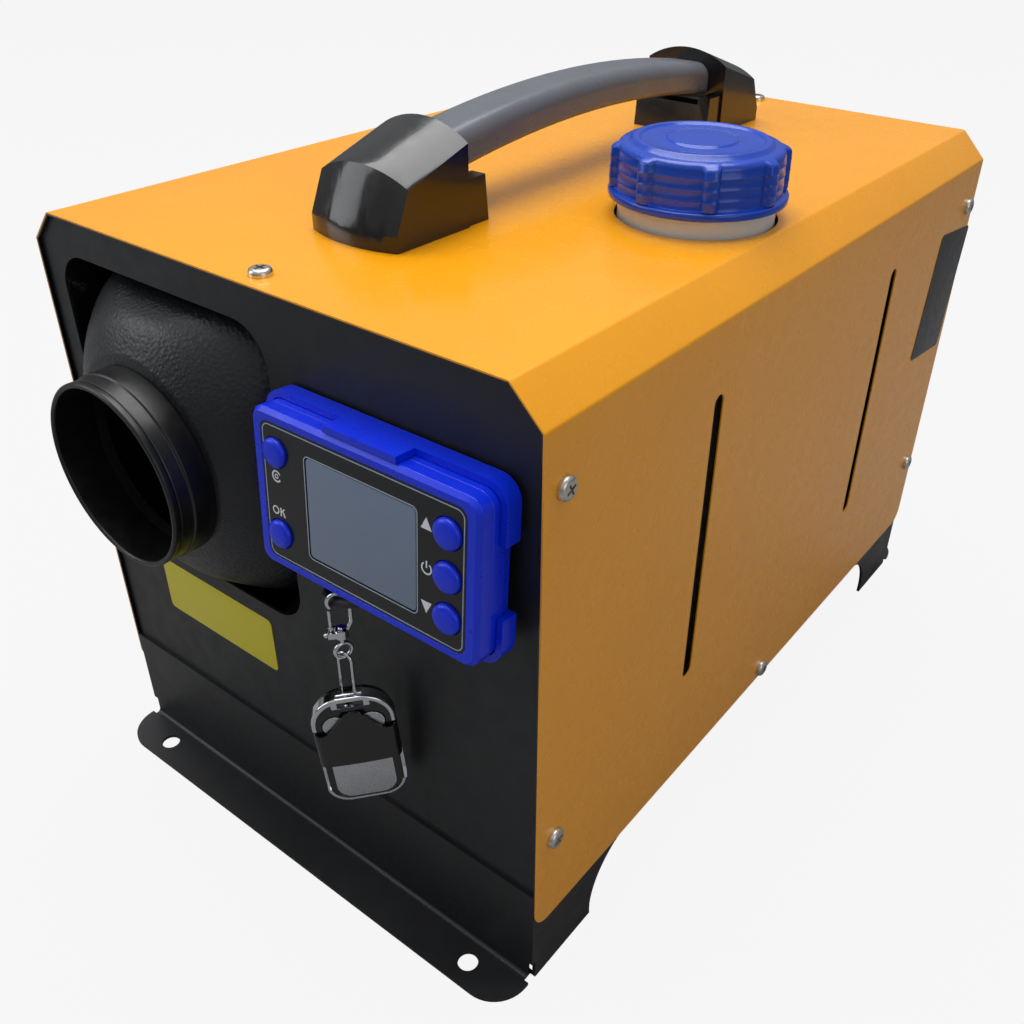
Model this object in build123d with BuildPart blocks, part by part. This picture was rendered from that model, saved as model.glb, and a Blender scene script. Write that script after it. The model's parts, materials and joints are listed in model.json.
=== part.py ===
from build123d import *

import math
import os

# Diesel air heater in a carrying case. Millimetres, +Z up.
# The origin is the centre of the four floor bolts, on the floor.
# The front, with the hot-air outlet and the controller, faces -Y.

# ---------------------------------------------------------------- driving dimensions

# Case
case_width = 250.0
case_depth = 366.0
case_top = 265.0
corner_bevel = 12.5
cover_sheet = 1.2
cover_bottom = 34.0
cover_bend_radius = 2.0
cover_corner_radius = 8.0
vent_slot_length = 132.0
vent_slot_width = 6.5
vent_slot_y = 80.5
vent_slot_z = 158.0

# Floor tray with its legs and bolt-down flanges
tray_sheet = 1.5
tray_floor_z = 36.0
tray_wall_top = 52.0
flange_width = 20.0
flange_corner_radius = 16.0
bolt_spacing_x = 197.0
bolt_spacing_y = 386.4
bolt_hole_diameter = 8.5
leg_length = 38.5
leg_arch_run = 21.5
leg_arch_z = 31.5

# End panels
panel_sheet = 1.2
panel_recess = 1.5
duct_window = (120.3, 127.1)
duct_window_centre = (-53.65, 186.15)
duct_window_radius = 16.0
inlet_hole_radius = 50.0

# Case screws
screw_head_radius = 4.2
screw_head_height = 2.6
screw_shank_radius = 1.9
screw_shank_length = 8.0
screw_hole_radius = 2.15
screw_edge_distance = 10.0
screw_upper_z = 231.0
screw_lower_z = 79.0
screw_tray_z = 40.0

# Carrying handle
handle_foot_inner = 81.5
handle_foot_outer = 136.0
handle_foot_width = 43.0
grip_width = 25.0
grip_height = 14.0
grip_crest = 31.5
grip_arc_radius = 580.0

# Heater
heater_x = -54.4
heater_z = 183.8
shell_size = (115.0, 124.0)
shell_corner_radius = 24.0
shell_wall = 2.5
shell_front = -164.0
shell_rear = 150.0
spigot_radius = 37.5
spigot_root_radius = 38.2
spigot_bore_radius = 35.2
spigot_root = -195.5
spigot_root_end = -204.5
spigot_rim = -213.4
exhaust_centre = (heater_x + 18.5, -95.0)
intake_centre = (heater_x - 18.5, -95.0)
pipe_radius = 12.0
pipe_root_radius = 12.5
pipe_wall = 1.5
pipe_end_z = 12.0
pipe_shoulder_z = 29.0

# Fuel tank, neck and cap
tank_x = (16.0, 112.0)
tank_y = (-140.0, 130.0)
tank_seam_z = 150.0
tank_top = 250.0
tank_wall = 3.0
tank_corner_radius = 14.0
tank_roof_radius = 10.0
tank_floor_radius = 4.0
neck_centre = (77.1, -23.9)
neck_radius = 30.5
neck_thread_radius = 28.4
neck_bore_radius = 25.0
neck_shoulder = 272.0
neck_top = 286.0
cap_flange_radius = 34.6
cap_body_radius = 32.0
cap_rib_radius = 34.3
cap_bore_radius = 29.0
cap_bottom = 272.3
cap_top = 293.8
cap_rib_count = 8
cap_rib_turn = -8.0
cap_rib_size = (4.8, 5.8)
cap_rib_top = 291.0

# Fuel pump, filter and hoses
fuel_line_z = 60.0
pump_x = -72.0
hose_radius = 3.5
hose_bore_radius = 2.1
nozzle_radius = 2.0

# Controller: it leans back and hangs slightly askew in its holder
controller_centre = (66.0, -200.5, 203.9)
controller_lean = 4.3
controller_roll = 0.4
controller_size = (98.2, 59.5)
controller_depth = 13.0
faceplate_size = (88.6, 51.4)
screen_size = (47.8, 37.0)
button_radius = 5.3
button_travel = 0.8

# Controller cable, and the key fob hanging on it
cable_radius = 1.75
cable_exit_x = 60.0
chain_x = 50.4
chain_y = -199.0
cable_run_z = 168.0
fob_size = (30.6, 52.6)
fob_yaw = 46.7
fob_tilt = 4.5
fob_top_z = 127.4

half_width = case_width / 2
half_depth = case_depth / 2
inner_half_width = half_width - cover_sheet
panel_front = half_depth - panel_recess
panel_back = panel_front - panel_sheet
tray_inner = inner_half_width - tray_sheet
tray_floor_top = tray_floor_z + tray_sheet

os.makedirs("parts", exist_ok=True)


# ---------------------------------------------------------------- helpers

def write_piece(piece, name):
    """Label a finished piece with its node's name and write it to its own file."""
    piece.part.label = name
    export_step(piece.part, f"parts/{name}.step")


def turned_along_y(outline, centre):
    """Solid turned from (radius, y) points about the line along Y through centre."""
    with BuildPart() as blank:
        with BuildSketch(Plane(origin=(centre[0], 0, centre[1]), x_dir=(1, 0, 0), z_dir=(0, 0, 1))):
            Polygon(*outline, align=None)
        revolve(axis=Axis((centre[0], 0, centre[1]), (0, 1, 0)))
    return blank.part


def turned_upright(outline, centre):
    """Solid turned from (radius, z) points about the upright line through centre."""
    with BuildPart() as blank:
        with BuildSketch(Plane(origin=(centre[0], centre[1], 0), x_dir=(1, 0, 0), z_dir=(0, -1, 0))):
            Polygon(*outline, align=None)
        revolve(axis=Axis((centre[0], centre[1], 0), (0, 0, 1)))
    return blank.part


def box_between(low, high):
    """Solid block between two opposite corners."""
    with BuildPart() as block:
        middle = [(a + b) / 2 for a, b in zip(low, high)]
        with Locations(tuple(middle)):
            Box(*[b - a for a, b in zip(low, high)])
    return block.part


def tube_along(points, radii, outer, inner=0.0):
    """Round tube or rod that follows straight runs joined by arcs."""
    with BuildPart() as tube:
        with BuildLine() as route:
            if radii:
                FilletPolyline(*points, radius=radii)
            else:
                Polyline(*points)
        with BuildSketch(Plane(origin=route.line @ 0, z_dir=route.line % 0)):
            Circle(outer)
            if inner:
                Circle(inner, mode=Mode.SUBTRACT)
        sweep()
    return tube.part


def case_outline(inset):
    """Corners of the case's cross-section, moved inside by inset."""
    half = half_width - inset
    top = case_top - inset
    bevel = corner_bevel - inset * (2 - math.sqrt(2))
    return [
        (-half, cover_bottom),
        (-half, top - bevel),
        (-half + bevel, top),
        (half - bevel, top),
        (half, top - bevel),
        (half, cover_bottom),
    ]


# ---------------------------------------------------------------- case

side_screws = [
    (-half_depth + screw_edge_distance, screw_upper_z),
    (-half_depth + screw_edge_distance, screw_lower_z),
    (half_depth - screw_edge_distance, screw_upper_z),
    (half_depth - screw_edge_distance, screw_lower_z),
    (0.0, screw_tray_z),
]
top_screw_y = half_depth - screw_edge_distance + 1.0

with BuildPart() as cover:
    with BuildSketch(Plane.XZ) as outer_bend:
        Polygon(*case_outline(0), align=None)
        fillet(outer_bend.vertices().filter_by(lambda v: v.Y > cover_bottom + 1), cover_bend_radius)
    extrude(amount=half_depth, both=True)
    with BuildSketch(Plane.XZ) as inner_bend:
        Polygon(*case_outline(cover_sheet), align=None)
        fillet(
            inner_bend.vertices().filter_by(lambda v: v.Y > cover_bottom + 1),
            cover_bend_radius - cover_sheet,
        )
    extrude(amount=half_depth, both=True, mode=Mode.SUBTRACT)
    fillet(cover.edges().filter_by(Axis.X).group_by(Axis.Z)[0], cover_corner_radius)
    with BuildSketch(Plane.YZ):
        with Locations((-vent_slot_y, vent_slot_z), (vent_slot_y, vent_slot_z)):
            SlotOverall(vent_slot_length, vent_slot_width, rotation=90)
        with Locations(*side_screws):
            Circle(screw_hole_radius)
    extrude(amount=case_width, both=True, mode=Mode.SUBTRACT)
    with BuildSketch(Plane.XY.offset(case_top)):
        with Locations(neck_centre):
            Circle(neck_radius + 1.3)
        with Locations((0, -top_screw_y), (0, top_screw_y)):
            Circle(screw_hole_radius)
    extrude(amount=-10, mode=Mode.SUBTRACT)
write_piece(cover, "cover")

# One pan-head screw with a cross recess, its seat at the origin, head towards +Z.
with BuildPart() as pan_screw:
    Cylinder(screw_head_radius, screw_head_height, align=(Align.CENTER, Align.CENTER, Align.MIN))
    fillet(pan_screw.edges().sort_by(Axis.Z)[-1], 1.7)
    Cylinder(screw_shank_radius, screw_shank_length, align=(Align.CENTER, Align.CENTER, Align.MAX))
    with BuildSketch(Plane.XY.offset(screw_head_height)):
        Rectangle(4.4, 0.9)
        Rectangle(0.9, 4.4)
    extrude(amount=-1.6, mode=Mode.SUBTRACT)

screw_seats = [Plane(origin=(0, y, case_top), z_dir=(0, 0, 1)) for y in (-top_screw_y, top_screw_y)]
for side in (-1, 1):
    for y, z in side_screws:
        seat = Plane(origin=(side * half_width, y, z), x_dir=(0, 0.9, 0.44), z_dir=(side, 0, 0))
        screw_seats.append(seat)
with BuildPart() as cover_screws:
    for seat in screw_seats:
        with Locations(seat):
            add(pan_screw.part)
write_piece(cover_screws, "cover_screws")

with BuildPart() as base_tray:
    add(box_between(
        (-tray_inner, -panel_front, tray_floor_z),
        (tray_inner, panel_front, tray_floor_top),
    ))
    # Side skirts that end in legs, with an arch between the legs
    with BuildSketch(Plane.YZ.offset(tray_inner)):
        with BuildLine():
            leg_end = -panel_front + leg_length
            arch_mid = (leg_end + leg_arch_run * (1 - math.cos(math.pi / 4)), leg_arch_z * math.sin(math.pi / 4))
            Polyline((leg_end, 0), (-panel_front, 0), (-panel_front, tray_wall_top), (0, tray_wall_top))
            Line((0, leg_arch_z), (leg_end + leg_arch_run, leg_arch_z))
            ThreePointArc((leg_end + leg_arch_run, leg_arch_z), arch_mid, (leg_end, 0))
            Line((0, tray_wall_top), (0, leg_arch_z))
        make_face()
        mirror(about=Plane.YZ)
    extrude(amount=tray_sheet)
    mirror(about=Plane.YZ)
    # Front and rear walls, folded outwards at the floor into flanges
    with BuildSketch(Plane.XZ.offset(panel_front)):
        with Locations((0, tray_wall_top / 2)):
            Rectangle(2 * inner_half_width, tray_wall_top)
    extrude(amount=panel_recess)
    with BuildSketch(Plane.XY):
        with Locations((0, -half_depth - flange_width / 2 + tray_sheet)):
            Rectangle(2 * inner_half_width, flange_width + 2 * tray_sheet)
    extrude(amount=tray_sheet)
    fillet(base_tray.edges().filter_by(Axis.Z).group_by(Axis.Y)[0], flange_corner_radius)
    along_x = base_tray.edges().filter_by(Axis.X)
    inner_fold = along_x.filter_by_position(Axis.Z, tray_sheet - 0.1, tray_sheet + 0.1)
    fillet(inner_fold.filter_by_position(Axis.Y, -half_depth - 0.1, -half_depth + 0.1), 2.0)
    # Relief notches at the two ends of the fold
    with BuildSketch(Plane.XZ.offset(half_depth - 2)):
        with Locations((-inner_half_width, 5), (inner_half_width, 5)):
            Rectangle(5, 10)
    extrude(amount=4.5, mode=Mode.SUBTRACT)
    split(bisect_by=Plane.XZ, keep=Keep.TOP)
    mirror(about=Plane.XZ)
    with BuildSketch(Plane.XY):
        with GridLocations(bolt_spacing_x, bolt_spacing_y, 2, 2):
            Circle(bolt_hole_diameter / 2)
        with Locations(exhaust_centre, intake_centre):
            Circle(pipe_root_radius + 2)
    extrude(amount=tray_floor_top + 1, mode=Mode.SUBTRACT)
    with BuildSketch(Plane.YZ):
        with Locations((0, screw_tray_z)):
            Circle(screw_hole_radius)
    extrude(amount=half_width, both=True, mode=Mode.SUBTRACT)
write_piece(base_tray, "base_tray")


def end_panel(window_sketch):
    """Front panel with folded side and top returns; the rear panel is its mirror image."""
    with BuildPart() as panel:
        with BuildSketch(Plane.XZ.offset(panel_back)):
            outline = case_outline(cover_sheet + 0.05)[1:5]
            side = inner_half_width - 0.05
            lap_side = tray_inner - 0.1
            Polygon(
                (-lap_side, tray_wall_top - 8),
                (-lap_side, tray_wall_top + 0.2),
                (-side, tray_wall_top + 0.2),
                *outline,
                (side, tray_wall_top + 0.2),
                (lap_side, tray_wall_top + 0.2),
                (lap_side, tray_wall_top - 8),
                align=None,
            )
            add(window_sketch, mode=Mode.SUBTRACT)
        extrude(amount=panel_sheet)
        return_back = panel_back - 17
        for x in (-1, 1):
            low, high = sorted((x * side, x * (side - panel_sheet)))
            add(box_between((low, -panel_back, 60), (high, -return_back, 243)))
        top = case_top - cover_sheet - 0.05
        add(box_between((-95, -panel_back, top - panel_sheet), (95, -return_back, top)))
        with BuildSketch(Plane.YZ):
            with Locations(*side_screws[0:2]):
                Circle(screw_hole_radius)
        extrude(amount=half_width, both=True, mode=Mode.SUBTRACT)
        with BuildSketch(Plane.XY.offset(case_top)):
            with Locations((0, -top_screw_y)):
                Circle(screw_hole_radius)
        extrude(amount=-4, mode=Mode.SUBTRACT)
    return panel


grommet_bore_radius = 5.0
panel_grommet_centre = (38.2, 164.2)
power_grommet_centre = (60.0, 70.0)

with BuildSketch() as front_windows:
    with Locations(duct_window_centre):
        RectangleRounded(*duct_window, duct_window_radius)
    with Locations(panel_grommet_centre):
        Circle(grommet_bore_radius)
front_panel = end_panel(front_windows.sketch)
write_piece(front_panel, "front_panel")

with BuildSketch() as rear_windows:
    with Locations((heater_x, heater_z)):
        Circle(inlet_hole_radius)
    with Locations(power_grommet_centre):
        Circle(grommet_bore_radius)
with BuildPart() as rear_panel:
    add(end_panel(rear_windows.sketch).part)
    mirror(about=Plane.XZ)
    split(bisect_by=Plane.XZ, keep=Keep.BOTTOM)
write_piece(rear_panel, "rear_panel")


# ---------------------------------------------------------------- carrying handle

grip_centre_z = case_top + grip_crest - grip_arc_radius
foot_band = 6.0
foot_roof_front = 26.5
foot_roof_rear = 37.0
roof_front_y = -handle_foot_outer + 9.5
roof_rear_y = -handle_foot_inner - 12.0
tongue_height = 17.5
socket_depth = 11.0


def grip_arc_z(y):
    """Height of the grip's middle line above the floor, at y."""
    return grip_centre_z + math.sqrt(grip_arc_radius**2 - y**2)


def grip_section(y):
    """Cross-section of the grip, flat below and rounded above, square to its arc at y."""
    slope = math.asin(y / grip_arc_radius)
    plane = Plane(
        origin=(0, y, grip_arc_z(y)),
        x_dir=(1, 0, 0),
        z_dir=(0, -math.cos(slope), math.sin(slope)),
    )
    with BuildSketch(plane) as section:
        Rectangle(grip_width, grip_height)
        fillet(section.vertices().group_by(Axis.Y)[-1], 6.3)
        fillet(section.vertices().group_by(Axis.Y)[0], 2.5)
    return section.sketch


grip_end = -roof_rear_y + socket_depth
with BuildPart() as handle_grip:
    with BuildLine() as grip_line:
        ThreePointArc(
            (0, grip_end, grip_arc_z(grip_end)),
            (0, 0, grip_arc_z(0)),
            (0, -grip_end, grip_arc_z(grip_end)),
        )
    add(grip_section(grip_end))
    sweep(path=grip_line.line)
write_piece(handle_grip, "handle_grip")

with BuildPart() as front_foot:
    # Side profile: band, sloping face, rising roof and upright inner face
    with BuildSketch(Plane.YZ):
        Polygon(
            (-handle_foot_outer, case_top + foot_band),
            (roof_front_y, case_top + foot_roof_front),
            (roof_rear_y, case_top + foot_roof_rear),
            (roof_rear_y, case_top + foot_band),
            align=None,
        )
    extrude(amount=handle_foot_width / 2, both=True)
    # The roof is arched across X, along its own slope
    roof_run = Vector(0, roof_rear_y - roof_front_y, foot_roof_rear - foot_roof_front)
    arch_sag = 6.5
    half_foot = handle_foot_width / 2
    with BuildSketch(Plane.XZ.offset(-roof_front_y)):
        with BuildLine():
            crown = case_top + foot_roof_front
            ThreePointArc((-half_foot, crown - arch_sag), (0, crown), (half_foot, crown - arch_sag))
            Polyline(
                (half_foot, crown - arch_sag),
                (half_foot, crown - 60),
                (-half_foot, crown - 60),
                (-half_foot, crown - arch_sag),
            )
        make_face()
    extrude(amount=60, dir=roof_run, both=True, mode=Mode.INTERSECT)
    # The nose is rounded in plan and leans back
    nose_sag = 4.5
    with BuildSketch(Plane.XY.offset(case_top + foot_band)) as nose_plan:
        with BuildLine():
            ThreePointArc(
                (-half_foot, -handle_foot_outer + nose_sag),
                (0, -handle_foot_outer),
                (half_foot, -handle_foot_outer + nose_sag),
            )
            Polyline(
                (half_foot, -handle_foot_outer + nose_sag),
                (half_foot, -handle_foot_inner + 40),
                (-half_foot, -handle_foot_inner + 40),
                (-half_foot, -handle_foot_outer + nose_sag),
            )
        make_face()
    nose_run = Vector(0, roof_front_y + handle_foot_outer, foot_roof_front - foot_band)
    extrude(amount=60, dir=nose_run, mode=Mode.INTERSECT)
    # Band round the bottom, and the tongue under the grip
    with BuildSketch(Plane.XY.offset(case_top)):
        add(nose_plan.sketch_local)
        with Locations((0, roof_rear_y)):
            Rectangle(60, 60, align=(Align.CENTER, Align.MIN), mode=Mode.SUBTRACT)
    extrude(amount=foot_band)
    with BuildSketch(Plane.YZ):
        Polygon(
            (roof_rear_y - 1, case_top),
            (-handle_foot_inner, case_top),
            (-handle_foot_inner - 1.6, case_top + tongue_height),
            (roof_rear_y - 1, case_top + tongue_height),
            align=None,
        )
    extrude(amount=half_foot - 1, both=True)
    with BuildSketch(Plane.XZ.offset(-roof_rear_y)):
        with Locations((0, case_top + tongue_height)):
            Rectangle(grip_width + 3, 7)
    extrude(amount=-20, mode=Mode.SUBTRACT)

with BuildPart() as handle_feet:
    add(front_foot.part)
    mirror(about=Plane.XZ)
    # Sockets that take the two ends of the grip
    add(handle_grip.part, mode=Mode.SUBTRACT)
write_piece(handle_feet, "handle_feet")


# ---------------------------------------------------------------- heater

heater_axis = (heater_x, heater_z)
shell_bottom = heater_z - shell_size[1] / 2
bracket_sheet = 2.0
bracket_top = shell_bottom
bracket_half = 52.0
bracket_foot = 8.0
bracket_y = (-125.0, 68.0)
blower_front = 20.0
blower_rear = 50.0
motor_radius = 26.0
motor_front = blower_rear
motor_rear = 98.0
shaft_radius = 4.0
exchanger_radius = 37.0
exchanger_bore = 31.0
exchanger_front = -140.0
fin_tip_radius = 51.0
fin_count = 28
fuel_port = (pump_x, 0.0)
pipe_socket = 12.0

with BuildPart() as heater_shell:
    shell_length = shell_rear - shell_front
    with BuildSketch(Plane(origin=(heater_x, shell_front, heater_z), x_dir=(1, 0, 0), z_dir=(0, -1, 0))):
        RectangleRounded(*shell_size, shell_corner_radius)
    extrude(amount=-shell_length)
    fillet(heater_shell.faces().sort_by(Axis.Y)[-1].edges(), 6)
    with BuildSketch(Plane(origin=(heater_x, shell_front, heater_z), x_dir=(1, 0, 0), z_dir=(0, -1, 0))):
        RectangleRounded(
            shell_size[0] - 2 * shell_wall,
            shell_size[1] - 2 * shell_wall,
            shell_corner_radius - shell_wall,
        )
    extrude(amount=-shell_length + shell_wall, mode=Mode.SUBTRACT)
    with BuildSketch(Plane.XZ.offset(-shell_rear - 1)):
        with Locations(heater_axis):
            Circle(inlet_hole_radius - 2)
    extrude(amount=10, mode=Mode.SUBTRACT)
    with BuildSketch(Plane.XY.offset(shell_bottom - 1)):
        with Locations(exhaust_centre, intake_centre):
            Circle(pipe_root_radius + 0.5)
        with Locations(fuel_port):
            Circle(hose_radius + 0.5)
    extrude(amount=10, mode=Mode.SUBTRACT)

with BuildPart() as heater_lower_shell:
    add(heater_shell.part)
    split(bisect_by=Plane.XY.offset(heater_z), keep=Keep.BOTTOM)
write_piece(heater_lower_shell, "heater_lower_shell")

harness_port = (66.0, 205.0)
board_z = heater_z + 51
board_low = (heater_x - 36, 52)
board_high = (heater_x + 36, 102)
with BuildPart() as heater_upper_shell:
    add(heater_shell.part)
    split(bisect_by=Plane.XY.offset(heater_z), keep=Keep.TOP)
    with BuildSketch(Plane.YZ):
        with Locations(harness_port):
            Circle(cable_radius + 0.3)
    extrude(amount=20, both=True, mode=Mode.SUBTRACT)
    # Posts that carry the control board under the roof
    with BuildSketch(Plane.XY.offset(board_z + 1.6)):
        with Locations((heater_x, (board_low[1] + board_high[1]) / 2)):
            with GridLocations(64, 42, 2, 2):
                Circle(3)
    extrude(until=Until.NEXT)
write_piece(heater_upper_shell, "heater_upper_shell")


def hood_section(size, radius, y, inset=0.0):
    """One cross-section of the outlet hood, square to the air flow."""
    with BuildSketch(Plane(origin=(heater_x, y, heater_z), x_dir=(1, 0, 0), z_dir=(0, -1, 0))) as section:
        RectangleRounded(size[0] - 2 * inset, size[1] - 2 * inset, radius - inset)
    return section.sketch


hood_sections = [
    (shell_size, shell_corner_radius, shell_front),
    ((113.0, 122.0), 34.0, -174.0),
    ((108.0, 116.5), 44.0, -183.0),
    ((97.0, 107.0), 47.0, -190.0),
    ((82.0, 84.0), 40.9, spigot_root),
]
with BuildPart() as hood_hollow:
    for size, radius, y in hood_sections:
        add(hood_section(size, radius, y, inset=3.0))
    loft()

with BuildPart() as outlet_hood:
    for size, radius, y in hood_sections:
        add(hood_section(size, radius, y))
    loft()
    add(hood_hollow.part, mode=Mode.SUBTRACT)
    add(turned_along_y([(0, -160), (spigot_bore_radius, -160), (spigot_bore_radius, -200), (0, -200)],
                       heater_axis), mode=Mode.SUBTRACT)
write_piece(outlet_hood, "outlet_hood")

with BuildPart() as outlet_collar:
    add(turned_along_y(
        [
            (spigot_bore_radius, spigot_root),
            (spigot_root_radius, spigot_root),
            (spigot_root_radius, spigot_root_end),
            (spigot_radius, spigot_root_end - 0.4),
            (spigot_radius, spigot_rim + 0.9),
            (spigot_radius - 0.9, spigot_rim),
            (spigot_bore_radius + 0.6, spigot_rim),
            (spigot_bore_radius, spigot_rim + 0.6),
        ],
        heater_axis,
    ))
write_piece(outlet_collar, "outlet_collar")

with BuildPart() as heat_exchanger:
    add(turned_along_y(
        [
            (0, exchanger_front),
            (exchanger_radius - 8, exchanger_front),
            (exchanger_radius, exchanger_front + 12),
            (exchanger_radius, blower_front),
            (exchanger_bore, blower_front),
            (exchanger_bore, exchanger_front + 14),
            (exchanger_radius - 12, exchanger_front + 5),
            (0, exchanger_front + 5),
        ],
        heater_axis,
    ))
    fin_front = exchanger_front + 14
    fin_rear = -12.0
    fin_middle = (fin_front + fin_rear) / 2
    with Locations(Plane(origin=(heater_x, fin_middle, heater_z), x_dir=(1, 0, 0), z_dir=(0, -1, 0))):
        with PolarLocations((exchanger_radius + fin_tip_radius) / 2 - 0.5, fin_count):
            Box(fin_tip_radius - exchanger_radius + 1, 2.0, fin_rear - fin_front)
    # Port block under the exchanger, with the exhaust and intake passages
    block_x = (heater_x - 33, heater_x + 33)
    block_y = (exhaust_centre[1] - 20, exhaust_centre[1] + 20)
    add(box_between(
        (block_x[0], block_y[0], shell_bottom + shell_wall),
        (block_x[1], block_y[1], heater_z - exchanger_radius + 2),
    ))
    with BuildSketch(Plane.XY.offset(shell_bottom)):
        with Locations(exhaust_centre, intake_centre):
            Circle(pipe_root_radius)
    extrude(amount=pipe_socket, mode=Mode.SUBTRACT)
    # Fuel nozzle, and the seat of the glow plug
    with Locations((*fuel_port, 140)):
        Cylinder(nozzle_radius, 30)
    with BuildSketch(Plane.XY.offset(heater_z + exchanger_radius - 12)):
        with Locations((heater_x, 0)):
            Circle(4.1)
    extrude(amount=30, mode=Mode.SUBTRACT)
write_piece(heat_exchanger, "heat_exchanger")

burner_radius = 24.0
with BuildPart() as burner_tube:
    add(turned_along_y(
        [
            (burner_radius - 1.5, -115),
            (burner_radius, -115),
            (burner_radius, blower_front - 3),
            (exchanger_bore - 0.5, blower_front - 3),
            (exchanger_bore - 0.5, blower_front),
            (burner_radius - 1.5, blower_front),
        ],
        heater_axis,
    ))
    with BuildSketch(Plane.XY.offset(heater_z)):
        with Locations((heater_x, 0)):
            Circle(4.1)
    extrude(amount=burner_radius + 1, mode=Mode.SUBTRACT)
write_piece(burner_tube, "burner_tube")

plug_seat = heater_z + exchanger_radius
with BuildPart() as glow_plug:
    add(turned_upright(
        [
            (0, heater_z + 14),
            (2.5, heater_z + 14),
            (3.9, heater_z + 18),
            (3.9, plug_seat),
            (3.9, plug_seat + 6),
            (2.0, plug_seat + 6),
            (2.0, plug_seat + 9),
            (0, plug_seat + 9),
        ],
        (heater_x, 0),
    ))
    with BuildSketch(Plane.XY.offset(plug_seat + 0.6)):
        with Locations((heater_x, 0)):
            RegularPolygon(6, 6)
    extrude(amount=3.5)
write_piece(glow_plug, "glow_plug")

housing_radius = 46.0
with BuildPart() as blower_housing:
    add(turned_along_y(
        [
            (0, blower_front),
            (housing_radius, blower_front),
            (housing_radius, blower_rear),
            (0, blower_rear),
        ],
        heater_axis,
    ))
    add(turned_along_y(
        [(0, blower_front + 3), (34, blower_front + 3), (34, blower_rear - 3), (0, blower_rear - 3)],
        heater_axis,
    ), mode=Mode.SUBTRACT)
    # Inlet eye behind the wheel, and the passage into the burner
    with BuildSketch(Plane.XZ.offset(-blower_rear)):
        with Locations(heater_axis):
            Circle(shaft_radius + 0.4)
        with Locations(Location((heater_x, heater_z))):
            with PolarLocations(20, 4):
                Circle(5)
    extrude(amount=4, mode=Mode.SUBTRACT)
    with BuildSketch(Plane.XZ.offset(-blower_front - 4)):
        with Locations(Location((heater_x, heater_z))):
            with PolarLocations(14, 6):
                Circle(3.5)
    extrude(amount=5, mode=Mode.SUBTRACT)
write_piece(blower_housing, "blower_housing")

with BuildPart() as fan_motor:
    add(turned_along_y(
        [
            (shaft_radius + 0.05, motor_front),
            (motor_radius, motor_front),
            (motor_radius, motor_rear - 6),
            (motor_radius - 5, motor_rear),
            (shaft_radius + 0.05, motor_rear),
        ],
        heater_axis,
    ))
    with BuildSketch(Plane.XZ.offset(-motor_rear)):
        with Locations(Location((heater_x, heater_z))):
            with PolarLocations(14, 5):
                SlotOverall(9, 3.5, rotation=0)
    extrude(amount=4, mode=Mode.SUBTRACT)
write_piece(fan_motor, "fan_motor")

shaft_front = blower_front + 8
shaft_rear = 128.0
with BuildPart() as motor_shaft:
    add(turned_along_y(
        [(0, shaft_front), (shaft_radius, shaft_front), (shaft_radius, shaft_rear), (0, shaft_rear)],
        heater_axis,
    ))
write_piece(motor_shaft, "motor_shaft")

with BuildPart() as combustion_wheel:
    add(turned_along_y(
        [(shaft_radius, 40), (31, 40), (31, 42), (10, 42.5), (9, 45.5), (shaft_radius, 45.5)],
        heater_axis,
    ))
    with Locations(Plane(origin=(heater_x, 36, heater_z), x_dir=(1, 0, 0), z_dir=(0, -1, 0))):
        with PolarLocations(20.5, 14, rotate=True):
            Box(17, 1.6, 10, rotation=(0, 0, 28))
write_piece(combustion_wheel, "combustion_wheel")

with BuildPart() as air_impeller:
    add(turned_along_y(
        [(shaft_radius, 104), (17, 104), (17, 120), (12, 126), (shaft_radius, 126)],
        heater_axis,
    ))
    with Locations(Plane(origin=(heater_x, 112, heater_z), x_dir=(1, 0, 0), z_dir=(0, -1, 0))):
        with PolarLocations(30.5, 9):
            Box(30, 17, 1.8, rotation=(32, 0, 0))
write_piece(air_impeller, "air_impeller")

with BuildPart() as control_board:
    add(box_between((*board_low, board_z), (*board_high, board_z + 1.6)))
    for x, y, across, along, high in (
        (-20, 66, 24, 18, 8),
        (12, 64, 18, 16, 5),
        (-22, 90, 16, 14, 9),
        (14, 88, 26, 12, 7),
    ):
        corner = (heater_x + x - across / 2, y - along / 2, board_z - high)
        far_corner = (heater_x + x + across / 2, y + along / 2, board_z)
        add(box_between(corner, far_corner))
write_piece(control_board, "control_board")

grille_y = (panel_front, panel_front + 2.5)
with BuildPart() as inlet_grille:
    with BuildSketch(Plane.XZ.offset(-grille_y[1])):
        with Locations(heater_axis):
            Circle(inlet_hole_radius + 6)
            Circle(inlet_hole_radius - 3, mode=Mode.SUBTRACT)
            for ring in (40, 30, 20, 10):
                Circle(ring + 1.1)
                Circle(ring - 1.1, mode=Mode.SUBTRACT)
            Rectangle(2.4, 2 * inlet_hole_radius)
            Rectangle(2 * inlet_hole_radius, 2.4)
            Circle(6)
    extrude(amount=2.5)
    with BuildSketch(Plane.XZ.offset(-grille_y[0])):
        with Locations(heater_axis):
            Circle(inlet_hole_radius - 0.3)
            Circle(inlet_hole_radius - 3, mode=Mode.SUBTRACT)
    extrude(amount=4)
write_piece(inlet_grille, "inlet_grille")

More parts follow.
